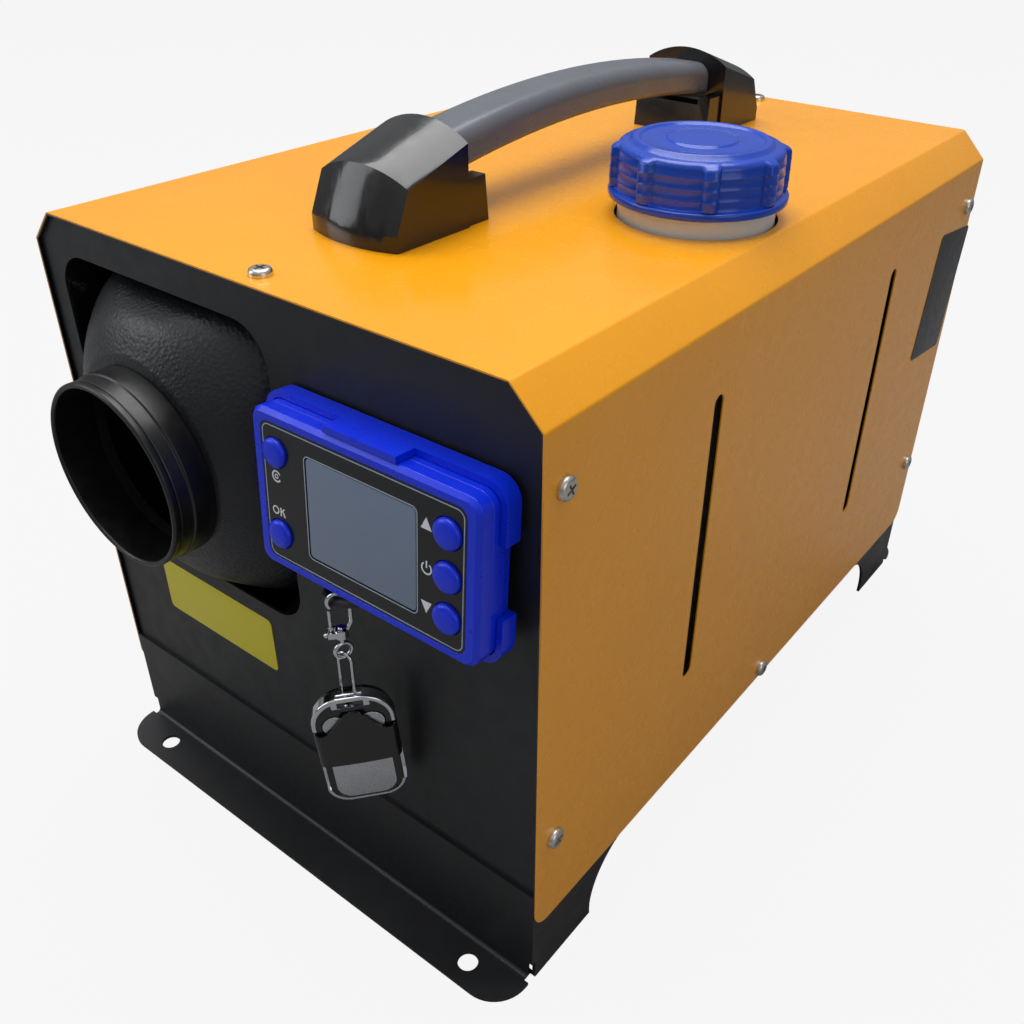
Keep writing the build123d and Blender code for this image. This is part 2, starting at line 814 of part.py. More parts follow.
with BuildPart() as heater_bracket:
    top_z = bracket_top
    with BuildSketch(Plane.XZ.offset(-bracket_y[1])):
        with Locations((heater_x, 0)):
            Polygon(
                (-bracket_half - bracket_foot, tray_floor_top),
                (-bracket_half - bracket_foot, tray_floor_top + bracket_sheet),
                (-bracket_half - bracket_sheet, tray_floor_top + bracket_sheet),
                (-bracket_half - bracket_sheet, top_z),
                (bracket_half + bracket_sheet, top_z),
                (bracket_half + bracket_sheet, tray_floor_top + bracket_sheet),
                (bracket_half + bracket_foot, tray_floor_top + bracket_sheet),
                (bracket_half + bracket_foot, tray_floor_top),
                (bracket_half, tray_floor_top),
                (bracket_half, top_z - bracket_sheet),
                (-bracket_half, top_z - bracket_sheet),
                (-bracket_half, tray_floor_top),
                align=None,
            )
    extrude(amount=bracket_y[1] - bracket_y[0])
    with BuildSketch(Plane.XY.offset(top_z)):
        with Locations(exhaust_centre, intake_centre):
            Circle(pipe_root_radius + 1)
        with Locations(fuel_port):
            Circle(hose_radius + 1.5)
    extrude(amount=-6, mode=Mode.SUBTRACT)
    # Windows that lighten the two upright sides
    with BuildSketch(Plane.YZ.offset(heater_x)):
        with Locations((-72, 80), (15, 80)):
            RectangleRounded(64, 44, 8)
    extrude(amount=80, both=True, mode=Mode.SUBTRACT)
write_piece(heater_bracket, "heater_bracket")


def standing_pipe(centre):
    """Straight pipe from the heater's port down through the tray floor."""
    return turned_upright(
        [
            (pipe_radius - pipe_wall, pipe_end_z),
            (pipe_radius, pipe_end_z),
            (pipe_radius, pipe_shoulder_z),
            (pipe_root_radius, pipe_shoulder_z + 1),
            (pipe_root_radius, shell_bottom + pipe_socket),
            (pipe_radius - pipe_wall, shell_bottom + pipe_socket),
        ],
        centre,
    )


with BuildPart() as exhaust_pipe:
    add(standing_pipe(exhaust_centre))
write_piece(exhaust_pipe, "exhaust_pipe")

with BuildPart() as intake_pipe:
    add(standing_pipe(intake_centre))
write_piece(intake_pipe, "intake_pipe")


# ---------------------------------------------------------------- fuel tank, cap, pump and hoses

tank_outlet_y = 112.0
tank_middle = ((tank_x[0] + tank_x[1]) / 2, (tank_y[0] + tank_y[1]) / 2)
tank_size = (tank_x[1] - tank_x[0], tank_y[1] - tank_y[0])

with BuildPart() as tank_shell:
    with BuildSketch(Plane.XY.offset(tray_floor_top)):
        with Locations(tank_middle):
            RectangleRounded(*tank_size, tank_corner_radius)
    extrude(amount=tank_top - tray_floor_top)
    fillet(tank_shell.faces().sort_by(Axis.Z)[-1].edges(), tank_roof_radius)
    fillet(tank_shell.faces().sort_by(Axis.Z)[0].edges(), tank_floor_radius)
    with BuildSketch(Plane.XY.offset(tray_floor_top + tank_wall)):
        with Locations(tank_middle):
            RectangleRounded(
                tank_size[0] - 2 * tank_wall,
                tank_size[1] - 2 * tank_wall,
                tank_corner_radius - tank_wall,
            )
    extrude(amount=tank_top - tray_floor_top - 2 * tank_wall, mode=Mode.SUBTRACT)
    with BuildSketch(Plane.XY.offset(tank_top)):
        with Locations(neck_centre):
            Circle(neck_bore_radius + tank_wall)
    extrude(amount=-tank_wall - 1, mode=Mode.SUBTRACT)

# The tank is welded from two shells
with BuildPart() as fuel_tank_lower:
    add(tank_shell.part)
    split(bisect_by=Plane.XY.offset(tank_seam_z), keep=Keep.BOTTOM)
    barb_run = 12.0 + tank_wall
    with Locations(Location((tank_x[0] + tank_wall - barb_run / 2, tank_outlet_y, fuel_line_z), (0, 90, 0))):
        Cylinder(nozzle_radius, barb_run)
        Cylinder(nozzle_radius / 2, barb_run + 4, mode=Mode.SUBTRACT)
write_piece(fuel_tank_lower, "fuel_tank_lower")

with BuildPart() as fuel_tank_upper:
    add(tank_shell.part)
    split(bisect_by=Plane.XY.offset(tank_seam_z), keep=Keep.TOP)
write_piece(fuel_tank_upper, "fuel_tank_upper")

with BuildPart() as filler_neck:
    add(turned_upright(
        [
            (neck_bore_radius, tank_top - tank_wall),
            (neck_bore_radius + tank_wall, tank_top - tank_wall),
            (neck_bore_radius + tank_wall, tank_top),
            (neck_radius, tank_top),
            (neck_radius, neck_shoulder - 0.6),
            (neck_radius - 0.6, neck_shoulder),
            (neck_thread_radius, neck_shoulder),
            (neck_thread_radius, neck_top - 0.8),
            (neck_thread_radius - 0.8, neck_top),
            (neck_bore_radius, neck_top),
        ],
        neck_centre,
    ))
write_piece(filler_neck, "filler_neck")

cap_inner_top = 290.0
with BuildPart() as fuel_cap:
    add(turned_upright(
        [
            (cap_bore_radius, cap_bottom),
            (cap_flange_radius - 0.5, cap_bottom),
            (cap_flange_radius, cap_bottom + 0.6),
            (cap_flange_radius, cap_bottom + 2.4),
            (cap_flange_radius - 0.6, cap_bottom + 3.0),
            (cap_body_radius, cap_bottom + 3.0),
            (cap_body_radius - 0.3, 290.3),
            (cap_body_radius - 1.6, 292.0),
            (27.4, 292.0),
            (25.7, cap_top),
            (23.6, cap_top),
            (23.2, cap_top - 0.7),
            (13.4, cap_top - 0.7),
            (13.0, cap_top),
            (0, cap_top),
            (0, cap_inner_top),
            (cap_bore_radius, cap_inner_top),
        ],
        neck_centre,
    ))
    # Grip ribs
    with BuildSketch(Plane.XY.offset(cap_bottom + 2.0)):
        with Locations(neck_centre):
            with PolarLocations(cap_rib_radius - cap_rib_size[0] / 2, cap_rib_count, start_angle=cap_rib_turn):
                RectangleRounded(*cap_rib_size, 1.3)
    extrude(amount=cap_rib_top - cap_bottom - 2.0)
write_piece(fuel_cap, "fuel_cap")

with BuildPart() as cap_liner:
    add(turned_upright(
        [
            (0, neck_top + 0.3),
            (28.3, neck_top + 0.3),
            (28.3, cap_inner_top - 0.3),
            (0, cap_inner_top - 0.3),
        ],
        neck_centre,
    ))
write_piece(cap_liner, "cap_liner")

pump_y = (28.0, 74.0)
pump_radius = 14.0
pump_axis = (pump_x, fuel_line_z)
pump_bore = 4.5
with BuildPart() as fuel_pump:
    add(turned_along_y(
        [
            (0, pump_y[0] - 10),
            (nozzle_radius, pump_y[0] - 10),
            (nozzle_radius, pump_y[0]),
            (9, pump_y[0]),
            (9, pump_y[0] + 6),
            (pump_radius, pump_y[0] + 8),
            (pump_radius, pump_y[1] - 8),
            (9, pump_y[1] - 6),
            (9, pump_y[1]),
            (nozzle_radius, pump_y[1]),
            (nozzle_radius, pump_y[1] + 10),
            (0, pump_y[1] + 10),
        ],
        pump_axis,
    ))
    add(turned_along_y(
        [
            (0, pump_y[0] - 12),
            (1, pump_y[0] - 12),
            (1, pump_y[0] + 8),
            (pump_bore, pump_y[0] + 8),
            (pump_bore, pump_y[1] - 8),
            (1, pump_y[1] - 8),
            (1, pump_y[1] + 12),
            (0, pump_y[1] + 12),
        ],
        pump_axis,
    ), mode=Mode.SUBTRACT)
write_piece(fuel_pump, "fuel_pump")

with BuildPart() as pump_plunger:
    add(turned_along_y(
        [
            (0, pump_y[0] + 14),
            (pump_bore - 0.06, pump_y[0] + 14),
            (pump_bore - 0.06, pump_y[0] + 28),
            (0, pump_y[0] + 28),
        ],
        pump_axis,
    ))
write_piece(pump_plunger, "pump_plunger")

with BuildPart() as pump_mount:
    band_y = ((pump_y[0] + pump_y[1]) / 2 - 8, (pump_y[0] + pump_y[1]) / 2 + 8)
    add(turned_along_y(
        [(0, band_y[0]), (pump_radius + 4, band_y[0]), (pump_radius + 4, band_y[1]), (0, band_y[1])],
        pump_axis,
    ))
    add(box_between(
        (pump_x - 16, band_y[0], tray_floor_top),
        (pump_x + 16, band_y[1], fuel_line_z - 6),
    ))
    add(turned_along_y(
        [(0, band_y[0]), (pump_radius, band_y[0]), (pump_radius, band_y[1]), (0, band_y[1])],
        pump_axis,
    ), mode=Mode.SUBTRACT)
write_piece(pump_mount, "pump_mount")

filter_x = (-44.0, -16.0)
with BuildPart() as fuel_filter:
    with BuildSketch(Plane.XY.offset(fuel_line_z)):
        Polygon(
            (filter_x[0] - 10, tank_outlet_y),
            (filter_x[0] - 10, tank_outlet_y + nozzle_radius),
            (filter_x[0], tank_outlet_y + nozzle_radius),
            (filter_x[0], tank_outlet_y + 7),
            (filter_x[0] + 3, tank_outlet_y + 9),
            (filter_x[1] - 3, tank_outlet_y + 9),
            (filter_x[1], tank_outlet_y + 7),
            (filter_x[1], tank_outlet_y + nozzle_radius),
            (filter_x[1] + 10, tank_outlet_y + nozzle_radius),
            (filter_x[1] + 10, tank_outlet_y),
            align=None,
        )
    revolve(axis=Axis((0, tank_outlet_y, fuel_line_z), (1, 0, 0)))
write_piece(fuel_filter, "fuel_filter")

with BuildPart() as fuel_hoses:
    add(tube_along(
        [(tank_x[0] - 0.1, tank_outlet_y, fuel_line_z), (filter_x[1] + 0.1, tank_outlet_y, fuel_line_z)],
        None,
        hose_radius,
        hose_bore_radius,
    ))
    add(tube_along(
        [
            (filter_x[0] - 0.1, tank_outlet_y, fuel_line_z),
            (pump_x, tank_outlet_y, fuel_line_z),
            (pump_x, pump_y[1] + 0.1, fuel_line_z),
        ],
        16,
        hose_radius,
        hose_bore_radius,
    ))
    add(tube_along(
        [
            (pump_x, pump_y[0] - 0.1, fuel_line_z),
            (pump_x, fuel_port[1], fuel_line_z),
            (pump_x, fuel_port[1], 149.5),
        ],
        20,
        hose_radius,
        hose_bore_radius,
    ))
write_piece(fuel_hoses, "fuel_hoses")


# ---------------------------------------------------------------- controller and its holder

lean = math.radians(controller_lean)
roll = math.radians(controller_roll)
face_out = Vector(0, -math.cos(lean), math.sin(lean))
face_rise = Vector(0, math.sin(lean), math.cos(lean))
face_across = Vector(math.cos(roll), 0, 0) + face_rise * math.sin(roll)
face_up = face_rise * math.cos(roll) - Vector(math.sin(roll), 0, 0)


def face_point(across, up, out):
    """Point given along the controller's face, up it and out of it."""
    return Vector(*controller_centre) + face_across * across + face_up * up + face_out * out


def face_plane(out):
    """Plane parallel to the controller's face, moved out of it."""
    return Plane(origin=face_point(0, 0, out), x_dir=face_across, z_dir=face_out)


button_places = {
    "button_tune": (-37.9, 15.3),
    "button_confirm": (-37.8, -15.4),
    "button_up": (37.1, 15.2),
    "button_power": (37.1, 0.1),
    "button_down": (37.1, -14.8),
}
screen_centre = (0.4, -0.1)
faceplate_depth = 0.6
seam_depth = 6.0
pcb_front = 8.0

with BuildPart() as controller_bezel:
    with BuildSketch(face_plane(-seam_depth)):
        RectangleRounded(*controller_size, 5.5)
    extrude(amount=seam_depth)
    chamfer(controller_bezel.faces().sort_by(Axis.Y)[0].edges(), 1.5)
    with BuildSketch(face_plane(-seam_depth)):
        RectangleRounded(controller_size[0] - 5, controller_size[1] - 5, 4)
    extrude(amount=seam_depth - 2, mode=Mode.SUBTRACT)
    with BuildSketch(face_plane(0)):
        RectangleRounded(faceplate_size[0] + 0.2, faceplate_size[1] + 0.2, 3.6)
    extrude(amount=-faceplate_depth, mode=Mode.SUBTRACT)
    with BuildSketch(face_plane(0)):
        with Locations(screen_centre):
            Rectangle(screen_size[0] + 0.4, screen_size[1] + 0.4)
        with Locations(*button_places.values()):
            Circle(button_radius + 0.35)
    extrude(amount=-4, mode=Mode.SUBTRACT)
write_piece(controller_bezel, "controller_bezel")

with BuildPart() as controller_faceplate:
    with BuildSketch(face_plane(-faceplate_depth)):
        RectangleRounded(*faceplate_size, 3.5)
        with Locations(screen_centre):
            Rectangle(screen_size[0] + 0.4, screen_size[1] + 0.4, mode=Mode.SUBTRACT)
        with Locations(*button_places.values()):
            Circle(button_radius + 0.35, mode=Mode.SUBTRACT)
    extrude(amount=faceplate_depth - 0.1)
write_piece(controller_faceplate, "controller_faceplate")

with BuildPart() as controller_screen:
    with BuildSketch(face_plane(-pcb_front)):
        with Locations(screen_centre):
            Rectangle(*screen_size)
    extrude(amount=pcb_front - 0.2)
write_piece(controller_screen, "controller_screen")

with BuildPart() as controller_board:
    with BuildSketch(face_plane(-pcb_front)):
        Rectangle(controller_size[0] - 8, controller_size[1] - 8)
    extrude(amount=-1.6)
write_piece(controller_board, "controller_board")

with BuildPart() as controller_back:
    with BuildSketch(face_plane(-controller_depth)):
        RectangleRounded(*controller_size, 6)
    extrude(amount=controller_depth - seam_depth)
    chamfer(controller_back.faces().sort_by(Axis.Y)[-1].edges(), 0.8)
    with BuildSketch(face_plane(-seam_depth)):
        RectangleRounded(controller_size[0] - 5, controller_size[1] - 5, 4)
    extrude(amount=-(controller_depth - seam_depth - 2), mode=Mode.SUBTRACT)
    with BuildSketch(face_plane(-pcb_front - 1.6)):
        with GridLocations(controller_size[0] - 14, controller_size[1] - 14, 2, 2):
            Circle(2.5)
    extrude(amount=-(controller_depth - pcb_front - 1.6 - 1))
write_piece(controller_back, "controller_back")

for name, (across, up) in button_places.items():
    with BuildPart() as button:
        with BuildSketch(face_plane(-2.2)):
            with Locations((across, up)):
                Circle(button_radius)
        extrude(amount=4.2)
        fillet(button.faces().sort_by(Axis.Y)[0].edges(), 1.9)
        with BuildSketch(face_plane(-2.2)):
            with Locations((across, up)):
                Circle(2)
        extrude(amount=-(pcb_front - 2.2 - button_travel - 0.3))
    write_piece(button, name)

holder_size = (103.4, 64.7)
holder_radius = 8.0
holder_plate = (controller_depth + 0.05, controller_depth + 2.4)
holder_lip = 4.2
holder_clip_front = 0.6
holder_clip = (-15.2, 15.9)
holder_tab_place = -20.0
holder_tab_front = 9.0
with BuildPart() as controller_holder:
    # Wedge that meets the front panel
    with BuildSketch(face_plane(-holder_plate[1])):
        Rectangle(56, 38)
    extrude(amount=-14)
    split(bisect_by=Plane.XZ.offset(panel_front), keep=Keep.TOP)
    # Plate, cut back behind the controller between the corners
    with BuildSketch(face_plane(-holder_plate[1])):
        RectangleRounded(*holder_size, holder_radius)
        with Locations((holder_size[0] / 2, -1), (-holder_size[0] / 2, -1)):
            Rectangle(7, 26, mode=Mode.SUBTRACT)
        with Locations((0, -holder_size[1] / 2)):
            Rectangle(54, 7, mode=Mode.SUBTRACT)
    extrude(amount=holder_plate[1] - holder_plate[0])
    # Rim round the controller, cut down to the lips at the corners and the top edge
    with BuildSketch(face_plane(-holder_plate[0])):
        RectangleRounded(*holder_size, holder_radius)
        RectangleRounded(controller_size[0] + 0.5, controller_size[1] + 0.5, 5.8, mode=Mode.SUBTRACT)
        with Locations((0, -1)):
            Rectangle(holder_size[0] + 2, 26, mode=Mode.SUBTRACT)
        with Locations((0, -holder_size[1] / 2)):
            Rectangle(54, 10, mode=Mode.SUBTRACT)
    extrude(amount=holder_lip)
    # Broad clip over the top edge, and the small tab under the bottom edge
    clip_middle = (holder_clip[0] + holder_clip[1]) / 2
    with BuildSketch(face_plane(-holder_plate[0])):
        with Locations((clip_middle, (controller_size[1] + holder_size[1]) / 4 + 0.12)):
            Rectangle(holder_clip[1] - holder_clip[0], (holder_size[1] - controller_size[1]) / 2 - 0.24)
    extrude(amount=holder_plate[0] - holder_clip_front)
    with BuildSketch(face_plane(-holder_plate[1])):
        with Locations((holder_tab_place, -holder_size[1] / 2)):
            Rectangle(10, 8, align=(Align.CENTER, Align.MIN))
    extrude(amount=holder_plate[1] - holder_plate[0])
    with BuildSketch(face_plane(-holder_plate[0])):
        with Locations((holder_tab_place, -holder_size[1] / 2)):
            Rectangle(10, 2.2, align=(Align.CENTER, Align.MIN))
    extrude(amount=holder_plate[0] - holder_tab_front)
write_piece(controller_holder, "controller_holder")


# ---------------------------------------------------------------- controller cable and its grommets

cable_exit = face_point((cable_exit_x - controller_centre[0]) / math.cos(roll), -controller_size[1] / 2, -4.5)
cable_in_case_x = (heater_x + shell_size[0] / 2 + tank_x[0]) / 2
cable_slope = (cable_run_z - panel_grommet_centre[1]) / (chain_x - panel_grommet_centre[0])
cable_points = [
    (cable_exit.X, cable_exit.Y, cable_exit.Z - 0.2),
    (cable_exit.X, chain_y, cable_run_z + cable_slope * (cable_exit.X - chain_x)),
    (panel_grommet_centre[0], chain_y, panel_grommet_centre[1]),
    (panel_grommet_centre[0], -panel_front + 9.5, panel_grommet_centre[1]),
    (cable_in_case_x, -panel_front + 15.5, panel_grommet_centre[1] - 6),
    (cable_in_case_x, harness_port[0], harness_port[1]),
    (heater_x + shell_size[0] / 2 - shell_wall, harness_port[0], harness_port[1]),
]
cable_radii = [2.6, 6.5, 6.5, 14, 3.2]
relief_length = 5.0
print("controller cable: radius", cable_radius, "mm, arcs", cable_radii, "mm")
with BuildPart() as controller_cable:
    add(tube_along(cable_points, cable_radii, cable_radius))
    # Collar where it leaves the controller, and the tapered strain relief on the panel's grommet
    with BuildSketch(Plane(origin=cable_exit, x_dir=face_across, z_dir=-face_up)):
        Circle(cable_radius + 0.8)
    extrude(amount=1.2)
    add(turned_along_y(
        [
            (0, -panel_front - 1.85),
            (cable_radius + 1.2, -panel_front - 1.85),
            (cable_radius + 0.6, -panel_front - 1.85 - relief_length),
            (0, -panel_front - 1.85 - relief_length),
        ],
        panel_grommet_centre,
    ))
write_piece(controller_cable, "controller_cable")


def grommet_outline(bore):
    """Half section of a rubber grommet that clips into a front panel hole, as (radius, y)."""
    groove = grommet_bore_radius - 0.05
    return [
        (bore, -panel_front - 1.8),
        (groove + 1.6, -panel_front - 1.8),
        (groove + 1.6, -panel_front),
        (groove, -panel_front),
        (groove, -panel_back),
        (groove + 1.6, -panel_back),
        (groove + 1.6, -panel_back + 1.8),
        (bore, -panel_back + 1.8),
    ]


with BuildPart() as cable_grommet:
    add(turned_along_y(grommet_outline(cable_radius + 0.1), panel_grommet_centre))
write_piece(cable_grommet, "cable_grommet")

power_bore_radius = 3.6
with BuildPart() as power_grommet:
    add(turned_along_y(grommet_outline(power_bore_radius), power_grommet_centre))
    mirror(about=Plane.XZ)
    split(bisect_by=Plane.XZ, keep=Keep.BOTTOM)
write_piece(power_grommet, "power_grommet")


# ---------------------------------------------------------------- snap clasp and link

clasp_wire = 0.75
hook_radius = 3.75
hook_centre_z = cable_run_z
hook_tip_angle = math.radians(215)
hook_waist_z = 159.4
barrel_z = (153.0, 156.4)
barrel_radius = 2.4
swivel_radius = 0.8
gate_pivot = (-3.5, 155.2)
gate_tip = (-3.5, 164.7)
gate_knob = (-5.3, 153.8)
gate_pin_radius = 0.5
eye_radius = 3.1
eye_centre_z = 146.7
eye_yaw = 70.0
link_wire = 0.6
link_half_width = 3.1
link_yaw = 5.0
bar_drop = 2.2
bar_radius = 0.95
loose_gap = 0.3
bar_z = fob_top_z - bar_drop * math.cos(math.radians(fob_tilt))


def turned_from_x(yaw):
    """Level direction turned from +X towards +Y."""
    return Vector(math.cos(math.radians(yaw)), math.sin(math.radians(yaw)), 0)


def chain_point(along, z, yaw=fob_yaw):
    """Point of the chain, along its level direction from the chain's middle and at height z."""
    return Vector(chain_x, chain_y, z) + turned_from_x(yaw) * along


def rod_between(start, end, radius):
    """Straight round rod between two points."""
    return tube_along([start, end], None, radius)


def cross_pin(along, z, radius, length):
    """Round pin square to the clasp's plane."""
    centre = chain_point(along, z)
    across = turned_from_x(fob_yaw - 90) * (length / 2)
    return rod_between(centre - across, centre + across, radius)


with BuildPart() as clasp_hook:
    with BuildLine() as hook_line:
        hook_tip = chain_point(
            hook_radius * math.cos(hook_tip_angle),
            hook_centre_z + hook_radius * math.sin(hook_tip_angle),
        )
        arm_top = chain_point(hook_radius, hook_centre_z)
        ThreePointArc(hook_tip, chain_point(0, hook_centre_z + hook_radius), arm_top)
        arm_foot = chain_point(1.9, barrel_z[1] - 1)
        FilletPolyline(arm_top, chain_point(hook_radius, hook_waist_z), arm_foot, radius=3)
    with BuildSketch(Plane(origin=hook_line.line @ 0, z_dir=hook_line.line % 0)):
        Circle(clasp_wire)
    sweep(path=hook_line.line)
    # Barrel with two ears that hold the gate's pin
    add(turned_upright(
        [(0, barrel_z[0]), (barrel_radius, barrel_z[0]), (barrel_radius, barrel_z[1]), (0, barrel_z[1])],
        (chain_x, chain_y),
    ))
    for side in (-1, 1):
        ear_plane = Plane(
            origin=chain_point(0, 0) + turned_from_x(fob_yaw - 90) * (side * 1.8),
            x_dir=turned_from_x(fob_yaw),
            z_dir=turned_from_x(fob_yaw - 90),
        )
        with BuildSketch(ear_plane):
            with Locations((gate_pivot[0] + 1.0, gate_pivot[1] - 0.4)):
                Rectangle(4.2, 2.4)
        extrude(amount=0.4, both=True)
    # Room for the gate's knuckle and for its swing
    add(cross_pin(*gate_pivot, 1.3, 2.8), mode=Mode.SUBTRACT)
    add(cross_pin(gate_pivot[0] + 0.5, gate_pivot[1] + 1.3, 1.3, 2.8), mode=Mode.SUBTRACT)
    with Locations((chain_x, chain_y, (barrel_z[0] + barrel_z[1]) / 2)):
        Cylinder(swivel_radius + 0.08, 12, mode=Mode.SUBTRACT)
    add(cross_pin(*gate_pivot, gate_pin_radius, 4.4))
write_piece(clasp_hook, "clasp_hook")

with BuildPart() as clasp_gate:
    add(cross_pin(*gate_pivot, 1.0, 2.4))
    add(rod_between(chain_point(gate_pivot[0], gate_pivot[1] + 0.5), chain_point(*gate_tip), 0.6))
    # Thumb knob
    add(rod_between(chain_point(gate_pivot[0] - 0.4, gate_pivot[1] - 0.3), chain_point(*gate_knob), 0.5))
    with Locations(chain_point(*gate_knob)):
        Sphere(1.0)
    add(cross_pin(*gate_pivot, gate_pin_radius + 0.05, 4), mode=Mode.SUBTRACT)
write_piece(clasp_gate, "clasp_gate")

with BuildPart() as clasp_swivel:
    head_z = barrel_z[1] + loose_gap
    add(turned_upright(
        [
            (0, eye_centre_z + eye_radius),
            (swivel_radius, eye_centre_z + eye_radius),
            (swivel_radius, head_z),
            (1.35, head_z),
            (1.35, head_z + 0.4),
            (1.0, head_z + 0.7),
            (0, head_z + 0.7),
        ],
        (chain_x, chain_y),
    ))
    eye_plane = Plane(origin=chain_point(0, eye_centre_z), z_dir=turned_from_x(eye_yaw - 90))
    with Locations(eye_plane):
        Torus(eye_radius, clasp_wire)
write_piece(clasp_swivel, "clasp_swivel")

link_top = eye_centre_z - eye_radius + clasp_wire + loose_gap + link_wire
link_bottom = bar_z - bar_radius - loose_gap - link_wire


def link_point(along, z):
    """Point of the link, along its own level direction."""
    return chain_point(along, z, yaw=link_yaw)


with BuildPart() as link_ring:
    with BuildLine() as link_line:
        upper = link_top - link_half_width
        lower = link_bottom + link_half_width
        Line(link_point(link_half_width, upper), link_point(link_half_width, lower))
        ThreePointArc(
            link_point(link_half_width, lower),
            link_point(0, link_bottom),
            link_point(-link_half_width, lower),
        )
        Line(link_point(-link_half_width, lower), link_point(-link_half_width, upper))
        ThreePointArc(
            link_point(-link_half_width, upper),
            link_point(0, link_top),
            link_point(link_half_width, upper),
        )
    with BuildSketch(Plane(origin=link_line.line @ 0, z_dir=link_line.line % 0)):
        Circle(link_wire)
    sweep(path=link_line.line)
write_piece(link_ring, "link_ring")


# ---------------------------------------------------------------- key fob

fob_frame_out = (-1.15, 4.35)
fob_back_out = -3.75
fob_face = 3.9
fob_wall = 1.6
fob_hanger = 6.4
fob_button_radius = 4.6
fob_button_travel = 0.5
fob_button_places = [(-6.8, -12.9), (6.8, -12.9), (-6.8, -24.6), (6.8, -24.6)]
slider_top = -6.0
slider_bottom = -32.0
slider_travel = 12.0
slider_wall = 0.9
tilt = math.radians(fob_tilt)
fob_level = turned_from_x(fob_yaw)
fob_across = fob_level * math.cos(tilt) + Vector(0, 0, math.sin(tilt))
fob_up = Vector(0, 0, math.cos(tilt)) - fob_level * math.sin(tilt)
fob_out = turned_from_x(fob_yaw - 90)


def fob_point(across, up, out):
    """Point given across the fob, up from its top edge and out of its front from the bar."""
    return Vector(chain_x, chain_y, bar_z) + fob_across * across + fob_up * (up + bar_drop) + fob_out * out


def fob_plane(out):
    """Plane parallel to the fob's front, across it and up it."""
    return Plane(origin=fob_point(0, 0, out), x_dir=fob_across, z_dir=fob_out)


def fob_section(up):
    """Plane square to the fob's length, across it and out of it."""
    return Plane(origin=fob_point(0, up, 0), x_dir=fob_across, z_dir=-fob_up)


def fob_slab(half, up, out, corner_radii):
    """Slab of the fob between two heights and two depths, with rounded top and bottom corners."""
    with BuildPart() as slab:
        with BuildSketch(fob_plane(out[0])) as outline:
            with Locations((0, (up[0] + up[1]) / 2)):
                Rectangle(2 * half, up[1] - up[0])
            if corner_radii:
                fillet(outline.vertices().group_by(Axis.Y)[-1], corner_radii[0])
                fillet(outline.vertices().group_by(Axis.Y)[0], corner_radii[1])
        extrude(amount=out[1] - out[0])
    return slab.part


def rounded_saddle(half, front, radius, back=0.0):
    """Outline in (across, out) from back to front, with its two front corners rounded."""
    with BuildSketch() as saddle:
        with Locations((0, (front + back) / 2)):
            Rectangle(2 * half, front - back)
        fillet(saddle.vertices().group_by(Axis.Y)[-1], radius)
    return saddle.sketch


fob_half = fob_size[0] / 2
fob_length = fob_size[1]
fob_corners = (12.0, 9.0)
window_corners = (fob_corners[0] - fob_wall, fob_corners[1] - fob_wall)
window_up = (fob_wall - fob_length, -fob_wall)
link_slot = (-2.8, 3.05)
slot_half = 4.8
hanger_half = 7.0
board_depth = 1.0
slider_front = 5.6
skirt_out = 1.7
channel_up = (slider_bottom - slider_travel - 1.0, slider_top - 8.0)
fob_outwards = Axis(fob_point(0, 0, 0), fob_out)

with BuildPart() as fob_frame:
    add(fob_slab(fob_half, (-fob_length, 0), fob_frame_out, fob_corners))
    fillet(fob_frame.faces().sort_by(fob_outwards)[-1].edges(), 0.9)
    fillet(fob_frame.faces().sort_by(fob_outwards)[0].edges(), 0.9)
    add(fob_slab(fob_half - fob_wall, window_up, (-8, 8), window_corners), mode=Mode.SUBTRACT)
    # Channels down both sides that the slider's skirts run in
    with BuildSketch(fob_section(channel_up[1])):
        with Locations((0, skirt_out - loose_gap + 5)):
            Rectangle(2 * fob_half + 2, 10)
        add(
            rounded_saddle(fob_half - slider_wall - 0.2, fob_frame_out[1], 1.2),
            mode=Mode.SUBTRACT,
        )
    extrude(amount=channel_up[1] - channel_up[0], mode=Mode.SUBTRACT)
    # Hanger block under the top wall, and the opening with the bar that the link hangs from
    add(fob_slab(hanger_half, (-fob_hanger, 0.2 - fob_wall), (fob_frame_out[0], link_slot[1] - 0.05), None))
    add(fob_slab(slot_half, (0.9 - fob_hanger, 1), link_slot, None), mode=Mode.SUBTRACT)
    bar_end = slot_half + 0.4
    add(rod_between(fob_point(-bar_end, -bar_drop, 0), fob_point(bar_end, -bar_drop, 0), bar_radius))
write_piece(fob_frame, "fob_frame")

